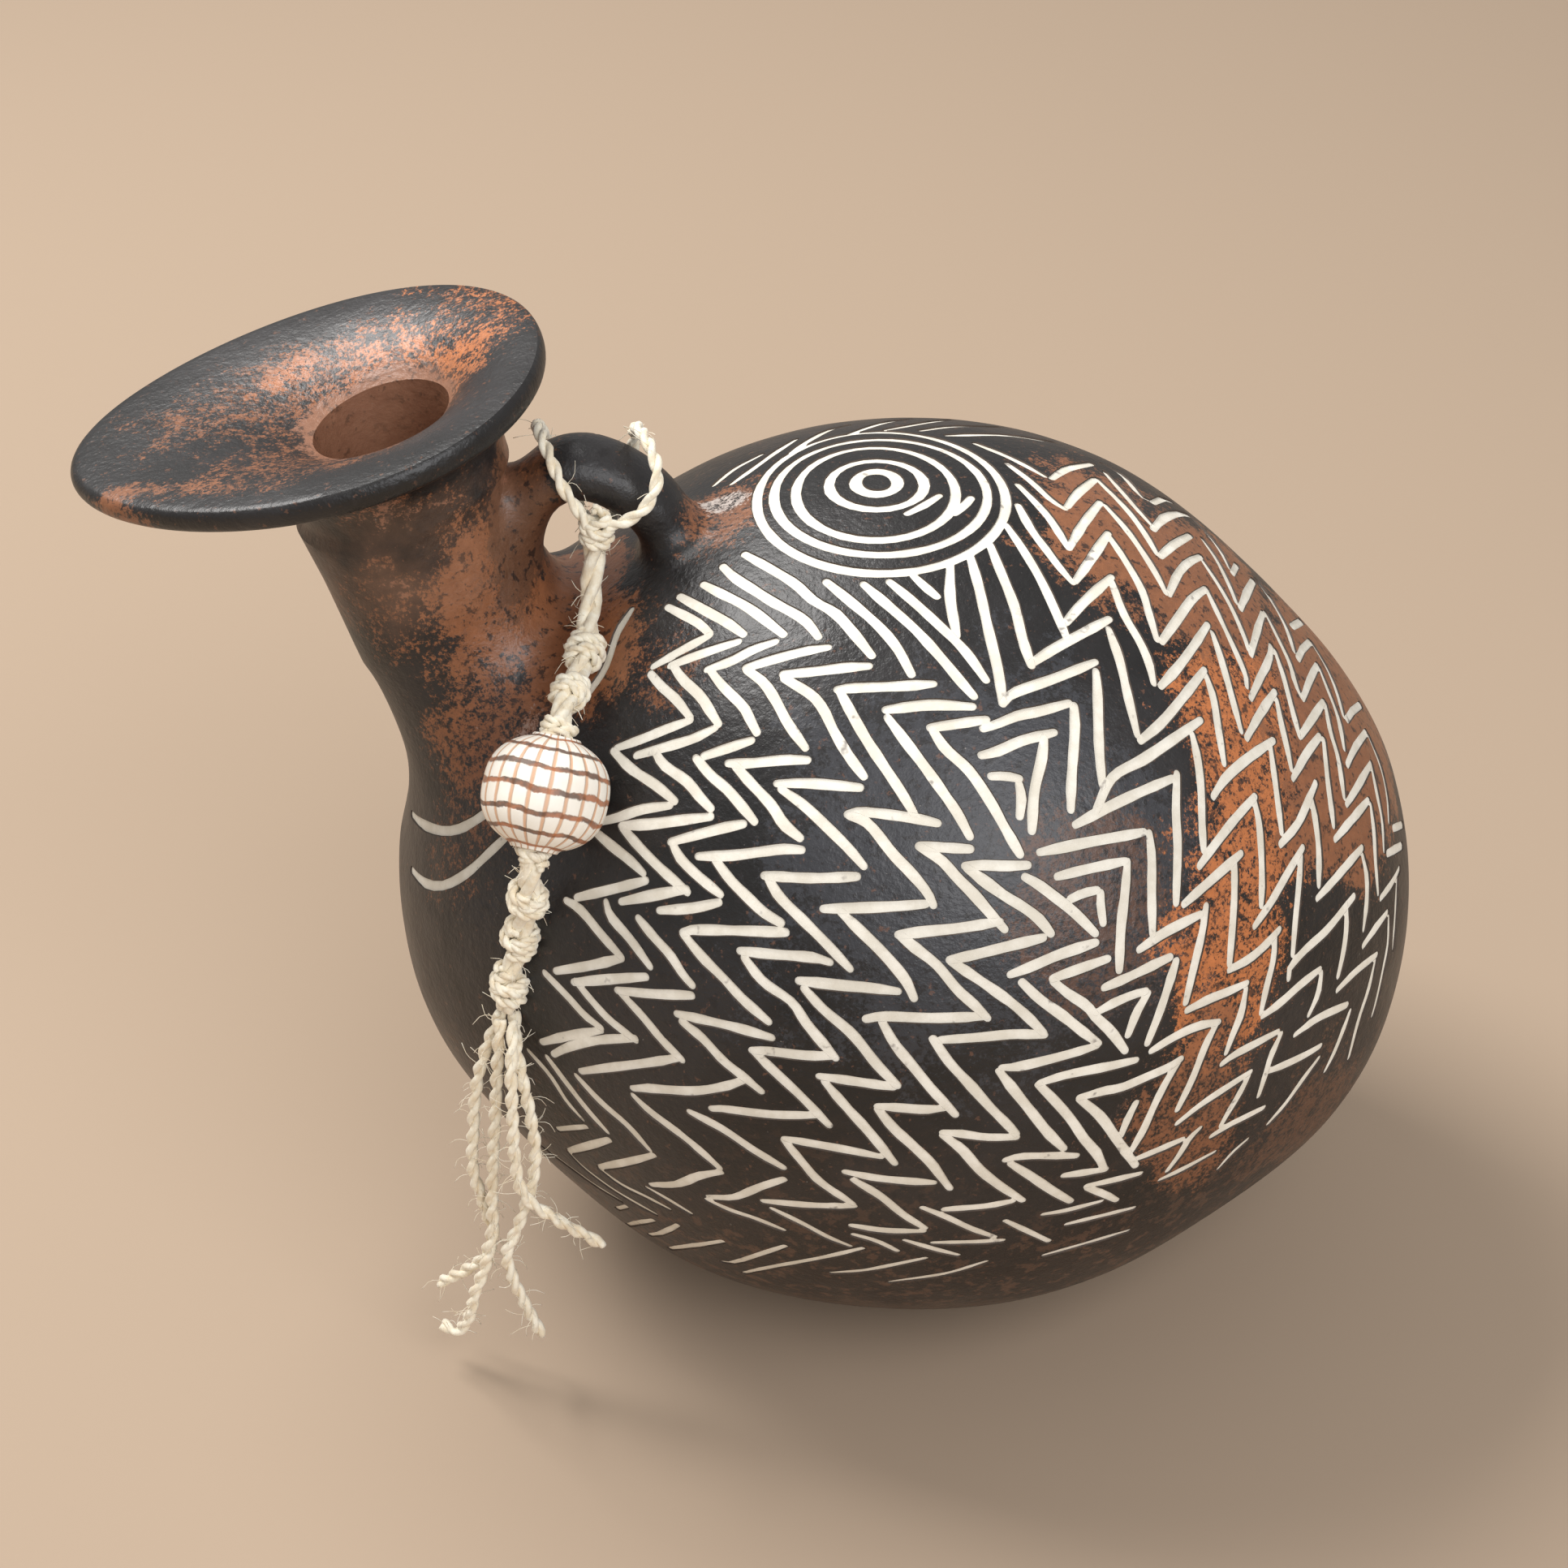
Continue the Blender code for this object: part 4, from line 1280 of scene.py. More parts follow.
    def build_lip(self) -> bpy.types.Mesh:
        """The top of the neck with its lip and funnel.

        Returns:
            The mesh.
        """
        outer, throat, edge = self.neck / 2, self.throat / 2, self.lip_thickness / 2
        collar_rings, round_rings, steps = 10, 12, 24
        rings = []
        for i in range(collar_rings):
            share = self.collar * (1 - i / collar_rings)
            ring = self.stem_ring(share)
            middle = sum(ring, Vector()) / len(ring)
            grown = self.collar_swell[0] - self.collar_swell[1] * share
            rings.append([middle + (point - middle) * grown for point in ring])
        for i in range(steps + 1):
            angle = math.pi / 2 * i / steps
            rings.append(self.neck_ring(-self.lip_thickness - self.flare * (1 - math.sin(angle)),
                                        self.edge_start * (1 - math.cos(angle)) ** self.flare_power, outer))
        for i in range(1, round_rings):
            angle = math.pi * i / round_rings
            spread = self.edge_start + (1 - self.edge_start) * math.sin(angle)
            rings.append(self.neck_ring(-edge * (1 + math.cos(angle)), spread, outer))
        for i in range(steps + 1):
            share = i / steps
            rings.append(self.neck_ring(-self.funnel * share ** self.funnel_powers[0],
                                        self.funnel_start * (1 - share) ** self.funnel_powers[1],
                                        throat * (1 - self.funnel_tuck * share)))
        return loft("lip", rings)

    def build_handle(self) -> bpy.types.Mesh:
        """The loop handle.

        Returns:
            The mesh.
        """
        middle = smooth_route([Vector((x, 0.0, z)) for x, z in self.handle_route], self.skin)
        side = Vector((0.0, 1.0, 0.0))
        last = len(middle) - 1
        turns = [TURN * k / self.handle_sides for k in range(self.handle_sides)]
        rings = []
        for i, point in enumerate(middle):
            ahead = middle[min(i + 1, last)] - middle[max(i - 1, 0)]
            outward = ahead.normalized().cross(side)
            swell = 1 + self.handle_swell * abs(2 * i / last - 1) ** self.handle_swell_power
            wide, thick = (size / 2 * swell for size in self.handle)
            rings.append([point + side * (wide * math.cos(turn)) + outward * (thick * math.sin(turn))
                          for turn in turns])
        return loft("handle", rings)

    def build_skin(self) -> bpy.types.Object:
        """The outer skin: body, neck and handle in one, with their joints rubbed smooth as wet clay.

        Returns:
            The closed outer solid.
        """
        centre = Vector((0.0, 0.0, self.centre_height()))
        body = loft("vessel_visual", self.egg(self.body_half, centre, *self.body_rings))
        parts = [body, self.build_stem(), self.build_handle()]
        self.trees = [self.tree_of(mesh) for mesh in parts]
        skin = link("vessel_visual", body)
        for mesh in parts[1:]:
            apply_boolean(skin, link(mesh.name, mesh), "UNION", Solver.MANIFOLD)
        activate(skin)
        step = skin.modifiers.new("skin", "REMESH")
        step.mode = "VOXEL"
        step.voxel_size = self.skin
        bpy.ops.object.modifier_apply(modifier=step.name)
        self.rub_joints(skin.data)
        shape = bmesh.new()
        shape.from_mesh(skin.data)
        everything = shape.verts[:] + shape.edges[:] + shape.faces[:]
        cut = bmesh.ops.bisect_plane(shape, geom=everything, dist=1e-6, plane_co=(0, 0, 0),
                                     plane_no=(0, 0, -1), clear_outer=True)
        border = [item for item in cut["geom_cut"] if isinstance(item, bmesh.types.BMEdge)]
        bmesh.ops.contextual_create(shape, geom=border)
        bmesh.ops.recalc_face_normals(shape, faces=shape.faces)
        shape.to_mesh(skin.data)
        shape.free()
        return skin

    def tree_of(self, mesh: bpy.types.Mesh) -> BVHTree:
        """A search tree of a mesh.

        Args:
            mesh: The mesh.

        Returns:
            The tree.
        """
        return BVHTree.FromPolygons([vertex.co for vertex in mesh.vertices],
                                    [tuple(face.vertices) for face in mesh.polygons])

    def rub_joints(self, mesh: bpy.types.Mesh) -> None:
        """Relax the skin, then lay it back on the exact shapes away from the joints.

        Args:
            mesh: The skin's mesh.
        """
        shape = bmesh.new()
        shape.from_mesh(mesh)
        for vertex in shape.verts:
            near = sorted(self.distance(tree, vertex.co) for tree in self.trees)
            vertex.tag = near[1] < self.joint
        body, stem, handle = self.trees
        neck_seam = [vertex for vertex in shape.verts
                     if max(self.distance(body, vertex.co), self.distance(stem, vertex.co)) < self.neck_joint
                     and self.distance(handle, vertex.co) > self.joint]
        self.relax(shape, neck_seam, self.neck_passes)
        for vertex in neck_seam:
            vertex.tag = True
        self.relax(shape, [vertex for vertex in shape.verts if vertex.tag], self.joint_passes)
        for vertex in shape.verts:
            if vertex.tag:
                continue
            hits = [tree.find_nearest(vertex.co) for tree in self.trees]
            place, _, _, away = min(hits, key=lambda hit: hit[3])
            if away < self.skin:
                vertex.co = place
        self.relax(shape, shape.verts, self.last_passes)
        self.shape_by_hand(shape)
        shape.to_mesh(mesh)
        shape.free()

    def relax(self, shape: bmesh.types.BMesh, verts: object, passes: int) -> None:
        """Smooth some points of the skin.

        Args:
            shape: The skin.
            verts: The points.
            passes: How many times.
        """
        for _ in range(passes):
            bmesh.ops.smooth_vert(shape, verts=verts, factor=0.5, use_axis_x=True, use_axis_y=True,
                                  use_axis_z=True)

    def distance(self, tree: BVHTree, place: Vector) -> float:
        """Distance from a point to a shape's surface."""
        return tree.find_nearest(place)[3]

    def shape_by_hand(self, shape: bmesh.types.BMesh) -> None:
        """Give the skin the slight unevenness of hand building.

        Args:
            shape: The skin.
        """
        shape.normal_update()
        for vertex in shape.verts:
            wave = sum(noise.noise(vertex.co * scale) * size for scale, size in self.hand_waves)
            vertex.co += vertex.normal * wave

    def stroke_solid(self, shape: bmesh.types.BMesh, points: list[Vector], normals: list[Vector],
                     width: float, closed: bool) -> None:
        """Add the cutter of one incised line.

        Args:
            shape: Where it is added.
            points: Its points on the skin.
            normals: The skin's normals there.
            width: Its width.
            closed: Whether it is a ring.
        """
        sunk = tuple((side, -share * self.stroke_depth) for side, share in self.stroke_profile)
        outline = ((-1.0, self.stroke_above), *sunk, (1.0, self.stroke_above))
        count = len(points)
        stations = []
        for i, (point, normal) in enumerate(zip(points, normals)):
            before = points[i - 1] if i or closed else points[0]
            after = points[(i + 1) % count] if closed else points[min(i + 1, count - 1)]
            ahead = (after - before).normalized()
            uneven = 1.0 + self.stroke_uneven[0] * noise.noise(point * self.stroke_uneven[1])
            if not closed:
                uneven *= 1.0 - self.stroke_taper * (1.0 - min(1.0, min(i, count - 1 - i) / 2))
            stations.append((point, normal, ahead, uneven))
        if not closed:
            stations = self.rounded_ends(stations, width)
        rows = []
        for point, normal, ahead, share in stations:
            side = ahead.cross(normal).normalized()
            reach = width / 2 * share
            rows.append([shape.verts.new(point + side * (s * reach) + normal * h) for s, h in outline])
        pairs = list(zip(rows, rows[1:])) + ([(rows[-1], rows[0])] if closed else [])
        size = len(outline)
        for low, high in pairs:
            for k in range(size):
                j = (k + 1) % size
                face = shape.faces.new((low[k], low[j], high[j], high[k]))
                face.material_index = PASTE_SLOT if k in PASTE_FACETS else EDGE_SLOT
        if not closed:
            for row in (rows[0], rows[-1]):
                shape.faces.new(row).material_index = EDGE_SLOT

    def rounded_ends(self, stations: list[tuple], width: float) -> list[tuple]:
        """Round both ends of a line.

        Args:
            stations: Point, normal, direction and width share along it.
            width: Its width.

        Returns:
            The stations with narrower ones added at each end.
        """
        ends = []
        for station, sign in ((stations[0], -1.0), (stations[-1], 1.0)):
            point, normal, ahead, share = station
            extra = [(point + ahead * (sign * width / 2 * share * math.sin(angle)), normal, ahead,
                      share * math.cos(angle)) for angle in self.end_angles]
            ends.append(extra)
        return list(reversed(ends[0])) + stations + ends[1]

    def on_skin(self, tree: BVHTree, pixels: Stroke | list[Pixel], pitch: float) -> tuple[list, list]:
        """Lay a line of the photograph on the skin.

        Args:
            tree: The skin.
            pixels: The line.
            pitch: Distance between its points, in pixels.

        Returns:
            Its points and the normals there; both empty if it misses.
        """
        flat = smooth_route([(x, y, 0.0) for x, y in pixels], pitch)
        points, normals = [], []
        for spot in flat:
            place, normal, _, _ = tree.ray_cast(VIEW.place, VIEW.ray((spot.x, spot.y)))
            if place is None:
                continue
            points.append(place)
            normals.append(normal)
        return points, normals

    def lines(self, tree: BVHTree) -> list[tuple[list, list, float, bool]]:
        """Every incised line, with those of the hidden side.

        Args:
            tree: The skin.

        Returns:
            Points, normals, width and whether it is closed, for each.
        """
        rows = (FAN_LEFT + ROW_B + ROW_C + ROW_D + ROW_E + ROW_F + ROW_G + CHAIN_D + CHAIN_E + CHAIN_G
                + TRIANGLES + FAN_RIGHT + CHAINS_RIGHT + RING_DASHES + NECK_LINES + EDGE_STROKES)
        made = []
        fine = self.stroke_width * self.fine_share
        for strokes, width in ((rows, self.stroke_width), (FINE_STROKES, fine)):
            for stroke in strokes:
                made.append((*self.on_skin(tree, stroke, self.stroke_pitch), width, False))
        for middle, half, share in RINGS:
            count = max(24, round(half[0] / self.ring_pitch))
            oval = [(middle[0] + half[0] * math.cos(TURN * k / count),
                     middle[1] + half[1] * math.sin(TURN * k / count)) for k in range(count)]
            points, normals = [], []
            for pixel in oval:
                place, normal, _, _ = tree.ray_cast(VIEW.place, VIEW.ray(pixel))
                points.append(place)
                normals.append(normal)
            made.append((points, normals, self.stroke_width * share, True))
        made = [line for line in made if len(line[0]) >= 2]
        made += self.hidden_side(tree, made)
        return made

    def hidden_side(self, tree: BVHTree, made: list) -> list:
        """The front's lines mirrored where the photograph can't see them.

        Args:
            tree: The skin.
            made: The lines of the front.

        Returns:
            The added lines.
        """
        added = []
        for points, normals, width, closed in made:
            if closed or min(point.length for point in points) < 0.01:
                continue
            mirrored, turned = [], []
            for point in points:
                spot = Vector((point.x, -point.y, point.z))
                place, normal, _, _ = tree.find_nearest(spot)
                mirrored.append(place)
                turned.append(normal)
            hidden = all(normal.dot((VIEW.place - place).normalized()) < self.hidden_limit
                         for place, normal in zip(mirrored, turned))
            if hidden and width > self.stroke_width * 0.9:
                added.append((mirrored, turned, width, False))
        return added

    def cut_lines(self, skin: bpy.types.Object) -> None:
        """Cut every incised line into the skin, in sets that don't touch one another.

        Args:
            skin: The outer solid.
        """
        tree = self.tree_of(skin.data)
        lines = self.lines(tree)
        groups: list[list] = []
        for line in lines:
            reach = line[2] / 2
            for group in groups:
                if all(self.apart(line, other, reach + other[2] / 2 + self.line_gap) for other in group):
                    group.append(line)
                    break
            else:
                groups.append([line])
        LOG.info("%d incised lines in %d sets", len(lines), len(groups))
        for number, group in enumerate(groups):
            shape = bmesh.new()
            for points, normals, width, closed in group:
                self.stroke_solid(shape, points, normals, width, closed)
            bmesh.ops.recalc_face_normals(shape, faces=shape.faces)
            mesh = bpy.data.meshes.new(f"lines_{number}")
            shape.to_mesh(mesh)
            shape.free()
            for finish in skin.data.materials:
                mesh.materials.append(finish)
            apply_boolean(skin, link(mesh.name, mesh), "DIFFERENCE", Solver.MANIFOLD)

    def apart(self, line: tuple, other: tuple, gap: float) -> bool:
        """Whether two lines stay clear of each other.

        Args:
            line: The first line.
            other: The second line.
            gap: The least distance between their middles.

        Returns:
            True if they stay clear.
        """
        first, second = line[0], other[0]
        spread = gap + 2 * self.line_gap
        for axis in range(3):
            low_a, high_a = min(p[axis] for p in first), max(p[axis] for p in first)
            low_b, high_b = min(p[axis] for p in second), max(p[axis] for p in second)
            if low_a - spread > high_b or low_b - spread > high_a:
                return True
        return all((p - q).length > spread for p in first for q in second)

    def hollow(self, skin: bpy.types.Object) -> None:
        """Cut the hollow and the throat.

        Args:
            skin: The outer solid.
        """
        top = self.centre_height() + self.body_half[2] - self.wall
        half_height = (top - self.floor) / 2
        half = (self.body_half[0] - self.wall, self.body_half[1] - self.wall, half_height)
        middle = Vector((0.0, 0.0, self.floor + half_height))
        cavity = loft("cavity", self.egg(half, middle, *self.hollow_rings))
        deep = -(self.rim - self.centre_height()) * self.throat_reach
        rise = (self.lip_thickness - deep) / self.throat_rings
        throat = loft("throat", [self.neck_ring(deep + rise * k, 0.0, self.throat / 2)
                                 for k in range(self.throat_rings + 1)])
        for mesh in (cavity, throat):
            for finish in skin.data.materials:
                mesh.materials.append(finish)
            apply_boolean(skin, link(mesh.name, mesh), "DIFFERENCE", Solver.MANIFOLD)

    def build(self, groups: Groups, stains_and_sheen: tuple[StainAndSheen, ...]) -> bpy.types.Object:
        """Build and dress the vessel.

        Args:
            groups: The shared shader groups.
            stains_and_sheen: Its stains, painted sheen and painted highlights.

        Returns:
            The vessel.
        """
        skin = self.build_skin()
        skin.data.materials.clear()
        clay = BurnishedClay().build(groups, stains_and_sheen)
        for finish in (clay, GrooveEdge().build(), WhitePaste().build(groups)):
            skin.data.materials.append(finish)
        for face in skin.data.polygons:
            face.material_index = 0
        lip = self.build_lip()
        for finish in skin.data.materials:
            lip.materials.append(finish)
        apply_boolean(skin, link(lip.name, lip), "UNION", Solver.MANIFOLD)
        self.cut_lines(skin)
        self.hollow(skin)
        activate(skin)
        bpy.ops.object.shade_smooth_by_angle(angle=self.smooth_angle)
        deselect()
        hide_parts("vessel")
        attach(skin, "root")
        return skin


@dataclass
class Twine:
    """The knotted twine and its bead."""
    strand: float = 0.0020
    trunk: float = 0.0050
    bead_diameter: float = 0.0225
    bead_length: float = 0.0205
    bore_clearance: float = 0.0008
    bead_power: float = 2.6
    bead_rings: int = 40
    bead_sides: int = 120
    bore_rim: float = 0.0010
    bore_round: float = 0.0016
    trunk_share: float = 0.86
    trunk_lay: float = 0.024
    twine_share: float = 1.28
    twine_lay: float = 0.0085
    knot_lay: float = 0.0046
    knot_share: float = 1.05
    ply_swell: float = 1.10
    hair: float = 0.00007
    trunk_hairs: tuple[float, int] = (0.006, 160)
    strand_hairs: tuple[float, int] = (0.0055, 70)
    loop_hairs: tuple[float, int] = (0.0055, 24)
    knots: tuple[tuple[int, Span, float], ...] = (
        (0, (0.0026, 0.0062), 2.0), (5, (0.0031, 0.0062), 2.0), (7, (0.0029, 0.0060), 2.0),
        (9, (0.0027, 0.0034), 1.5), (13, (0.0025, 0.0030), 1.2), (15, (0.0031, 0.0062), 2.0),
        (17, (0.0029, 0.0066), 2.0), (19, (0.0030, 0.0058), 2.0),
    )

    def frames(self, route: list[Vector]) -> list[tuple[Vector, Vector, Vector]]:
        """A frame along a route that doesn't twist.

        Args:
            route: Its points.

        Returns:
            Direction and two sideways directions at each point.
        """
        frames = []
        last = len(route) - 1
        side = None
        for i in range(len(route)):
            ahead = (route[min(i + 1, last)] - route[max(i - 1, 0)]).normalized()
            if side is None:
                side = ahead.orthogonal().normalized()
            side = (side - ahead * side.dot(ahead)).normalized()
            frames.append((ahead, side, ahead.cross(side)))
        return frames

    def add_tube(self, shape: bmesh.types.BMesh, path: list[Vector], radii: list[float], sides: int) -> None:
        """Add one closed tube.

        Args:
            shape: Where it is added.
            path: Its middle line.
            radii: Its radius at each point.
            sides: Its facets round.
        """
        rows = []
        for point, (_, side, other), radius in zip(path, self.frames(path), radii):
            rows.append([shape.verts.new(point + side * (radius * math.cos(TURN * k / sides))
                                         + other * (radius * math.sin(TURN * k / sides)))
                         for k in range(sides)])
        for low, high in zip(rows, rows[1:]):
            for k in range(sides):
                j = (k + 1) % sides
                shape.faces.new((low[k], low[j], high[j], high[k]))
        shape.faces.new(list(reversed(rows[0])))
        shape.faces.new(rows[-1])

    def add_rope(self, shape: bmesh.types.BMesh, route: list[Vector], diameter: float, plies: int,
                 lay: float, sides: int, seed: int) -> None:
        """Add twisted plies along a route.

        Args:
            shape: Where they are added.
            route: The middle line, at a fine pitch.
            diameter: Over all plies.
            plies: How many.
            lay: Length of one full turn.
            sides: Facets round each ply.
            seed: Makes its unevenness its own.
        """
        chance = random.Random(seed)
        share = {2: 0.5, 3: 0.464, 4: 0.414}[plies]
        ply = diameter / 2 * share * self.ply_swell
        offset = diameter / 2 - ply
        frames = self.frames(route)
        travelled = [0.0]
        for a, b in zip(route, route[1:]):
            travelled.append(travelled[-1] + (b - a).length)
        for number in range(plies):
            start = TURN * number / plies + chance.uniform(-0.15, 0.15)
            path, radii = [], []
            for point, (_, side, other), run in zip(route, frames, travelled):
                turn = start + TURN * run / lay
                wander = 1 + 0.12 * noise.noise(Vector((run * 400.0, number * 7.0, seed)))
                path.append(point + (side * math.cos(turn) + other * math.sin(turn)) * (offset * wander))
                radii.append(ply * (1 + 0.16 * noise.noise(Vector((run * 700.0, number * 3.0, seed + 5.0)))))
            self.add_tube(shape, path, radii, sides)

    def finish_mesh(self, name: str, shape: bmesh.types.BMesh,
                    finish: bpy.types.Material) -> bpy.types.Object:
        """Turn a shape into a smooth dressed piece.

        Args:
            name: Its name.
            shape: The shape, which is freed.
            finish: Its material.

        Returns:
            The piece.
        """
        bmesh.ops.recalc_face_normals(shape, faces=shape.faces)
        mesh = bpy.data.meshes.new(name)
        shape.to_mesh(mesh)
        shape.free()
        for face in mesh.polygons:
            face.use_smooth = True
        mesh.materials.append(finish)
        piece = link(name, mesh)
        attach(piece, "root")
        return piece

    def rope(self, name: str, route: tuple[Point, ...], diameter: float, finish: bpy.types.Material,
             plies: int, lay: float, seed: int) -> tuple[bpy.types.Object, list[Vector]]:
        """A length of twine.

        Args:
            name: Its name.
            route: Its route.
            diameter: Its diameter.
            finish: Its material.
            plies: Its plies.
            lay: Length of one full turn.
            seed: Makes its unevenness its own.

        Returns:
            The piece and its middle line.
        """
        middle = smooth_route(route, diameter * 0.22)
        shape = bmesh.new()
        self.add_rope(shape, middle, diameter, plies, lay, 8, seed)
        return self.finish_mesh(name, shape, finish), middle

    def knot(self, name: str, place: Vector, axis: Vector, size: tuple[float, float], turns: float,
             finish: bpy.types.Material, seed: int) -> bpy.types.Object:
        """A tight knot: crossing coils of twine round the cord.

        Args:
            name: Its name.
            place: Its middle.
            axis: The cord's direction there.
            size: Its radius and its length.
            turns: How many turns it makes.
            finish: Its material.
            seed: Makes it its own.

        Returns:
            The piece.
        """
        chance = random.Random(seed)
        side = axis.orthogonal().normalized()
        other = axis.cross(side)
        radius, length = size
        shape = bmesh.new()
        for layer in range(2):
            tilt = chance.uniform(0.25, 0.6) * (1 if layer else -1)
            phase = chance.uniform(0, 6.28)
            steps = int(turns * 34)
            path = []
            for i in range(steps + 1):
                share = i / steps
                turn = phase + TURN * turns * share
                bulge = radius * (0.78 + 0.22 * math.sin(math.pi * share)) * (1 - 0.10 * layer)
                rise = (share - 0.5) * length * 0.8 + tilt * radius * math.sin(turn) * 0.7
                path.append(place + (side * math.cos(turn) + other * math.sin(turn)) * bulge + axis * rise)
            self.add_rope(shape, smooth_route(path, 0.0005), self.strand * self.knot_share, 2, self.knot_lay,
                          6, seed + layer)
        return self.finish_mesh(name, shape, finish)

    def fibres(self, name: str, route: list[Vector], reach: float, count: int, finish: bpy.types.Material,
               seed: int) -> bpy.types.Object:
        """Loose hairs that stand off a cord.

        Args:
            name: Its name.
            route: The cord's middle line.
            reach: How long the hairs are.
            count: How many.
            finish: Their material.
            seed: Makes them their own.

        Returns:
            The piece.
        """
        chance = random.Random(seed)
        shape = bmesh.new()
        for _ in range(count):
            i = chance.randrange(1, len(route) - 1)
            ahead = (route[i + 1] - route[i - 1]).normalized()
            away = Vector((chance.gauss(0, 1), chance.gauss(0, 1), chance.gauss(0, 1)))
            away = (away - ahead * away.dot(ahead)).normalized()
            lean = ahead * chance.uniform(-1.6, 1.6)
            droop = Vector((0, 0, -chance.uniform(0.0, 0.8)))
            size = reach * chance.uniform(0.35, 1.0)
            start = route[i] + away * 0.0004
            middle = start + (away + lean * 0.4).normalized() * size * 0.5
            end = middle + (away * 0.6 + lean + droop).normalized() * size * 0.5
            path = smooth_route([start, middle, end], size / 5)
            self.add_tube(shape, path, [self.hair] * len(path), 3)
        return self.finish_mesh(name, shape, finish)

    def build_bead(self, finish: bpy.types.Material) -> bpy.types.Object:
        """The barrel bead.

        Args:
            finish: Its material.

        Returns:
            The bead.
        """
        place = Vector(TRUNK_ROUTE[BEAD_STOP])
        axis = (Vector(TRUNK_ROUTE[BEAD_STOP - 1]) - Vector(TRUNK_ROUTE[BEAD_STOP + 1])).normalized()
        turn = axis.to_track_quat("Z", "X").to_matrix().to_4x4()
        bore = self.trunk / 2 + self.bore_clearance
        edge = self.bead_length / 2 - self.bore_rim
        steps, segments = self.bead_rings, self.bead_sides
        profile = [(bore, -edge)]
        for i in range(steps + 1):
            height = -math.cos(math.pi * i / steps)
            radius = self.bead_diameter / 2 * (1 - abs(height) ** self.bead_power) ** 0.5
            lip = bore + self.bore_round * math.sqrt(i * (steps - i) / (steps * 0.25 * steps) + 0.15)
            profile.append((max(radius, lip), height * self.bead_length / 2))
        profile.append((bore, edge))
        shape = bmesh.new()
        chart = shape.loops.layers.uv.new("round")
        move = Matrix.Translation(place) @ turn
        rows = [[shape.verts.new(move @ Vector((radius * math.cos(TURN * k / segments),
                                                radius * math.sin(TURN * k / segments), height)))
                 for k in range(segments)] for radius, height in profile]
        total = len(rows)
        for i in range(total):
            low, high = rows[i], rows[(i + 1) % total]
            for k in range(segments):
                j = (k + 1) % segments
                face = shape.faces.new((low[k], low[j], high[j], high[k]))
                face.smooth = True
                for loop, (u, v) in zip(face.loops, ((k, i), (k + 1, i), (k + 1, i + 1), (k, i + 1))):
                    loop[chart].uv = (u / segments, v / total)
        bmesh.ops.recalc_face_normals(shape, faces=shape.faces)
        mesh = bpy.data.meshes.new("bead_visual")
        shape.to_mesh(mesh)
        shape.free()
        mesh.materials.append(finish)
        bead = link("bead_visual", mesh)
        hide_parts("bead")
        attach(bead, "root")
        return bead

    def length(self, route: list[Vector]) -> float:
        """Length of a route."""
        return sum((b - a).length for a, b in zip(route, route[1:]))

    def build_trunk(self, hemp: bpy.types.Material) -> None:
        """Args:
            hemp: Its material.
        """
        trunk, middle = self.rope("trunk_visual", TRUNK_ROUTE, self.trunk * self.trunk_share, hemp, 3,
                                  self.trunk_lay, 11)
        for number, (stop, size, turns) in enumerate(self.knots):
            low = Vector(TRUNK_ROUTE[max(stop - 1, 0)])
            high = Vector(TRUNK_ROUTE[min(stop + 1, len(TRUNK_ROUTE) - 1)])
            self.knot(f"knot_{number + 1}", Vector(TRUNK_ROUTE[stop]), (high - low).normalized(),
                                   size, turns, hemp, 30 + number)
        fuzz = self.fibres("trunk_fibres", middle, *self.trunk_hairs, hemp, 3)
        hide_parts("cord_trunk")

    def build(self) -> None:
        """Build every length of twine, the knots and the bead."""
        hemp = HempTwine().build()
        bead = self.build_bead(BeadClay().build())
        LOG.info("bead is on the trunk")
        self.build_trunk(hemp)
        for seed, (name, route) in enumerate((*LOOP_ROUTES.items(), *STRAND_ROUTES.items())):
            piece, middle = self.rope(name.replace("cord_", "twine_"), route, self.strand * self.twine_share,
                                      hemp, 2, self.twine_lay, 50 + seed)
            strand = name in STRAND_ROUTES
            hairs = self.fibres(name.replace("cord_", "fibres_"), middle,
                                *(self.strand_hairs if strand else self.loop_hairs), hemp, 70 + seed)
            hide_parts(name)
            LOG.info("%s is %.0f mm long", name, self.length(middle) * 1000)


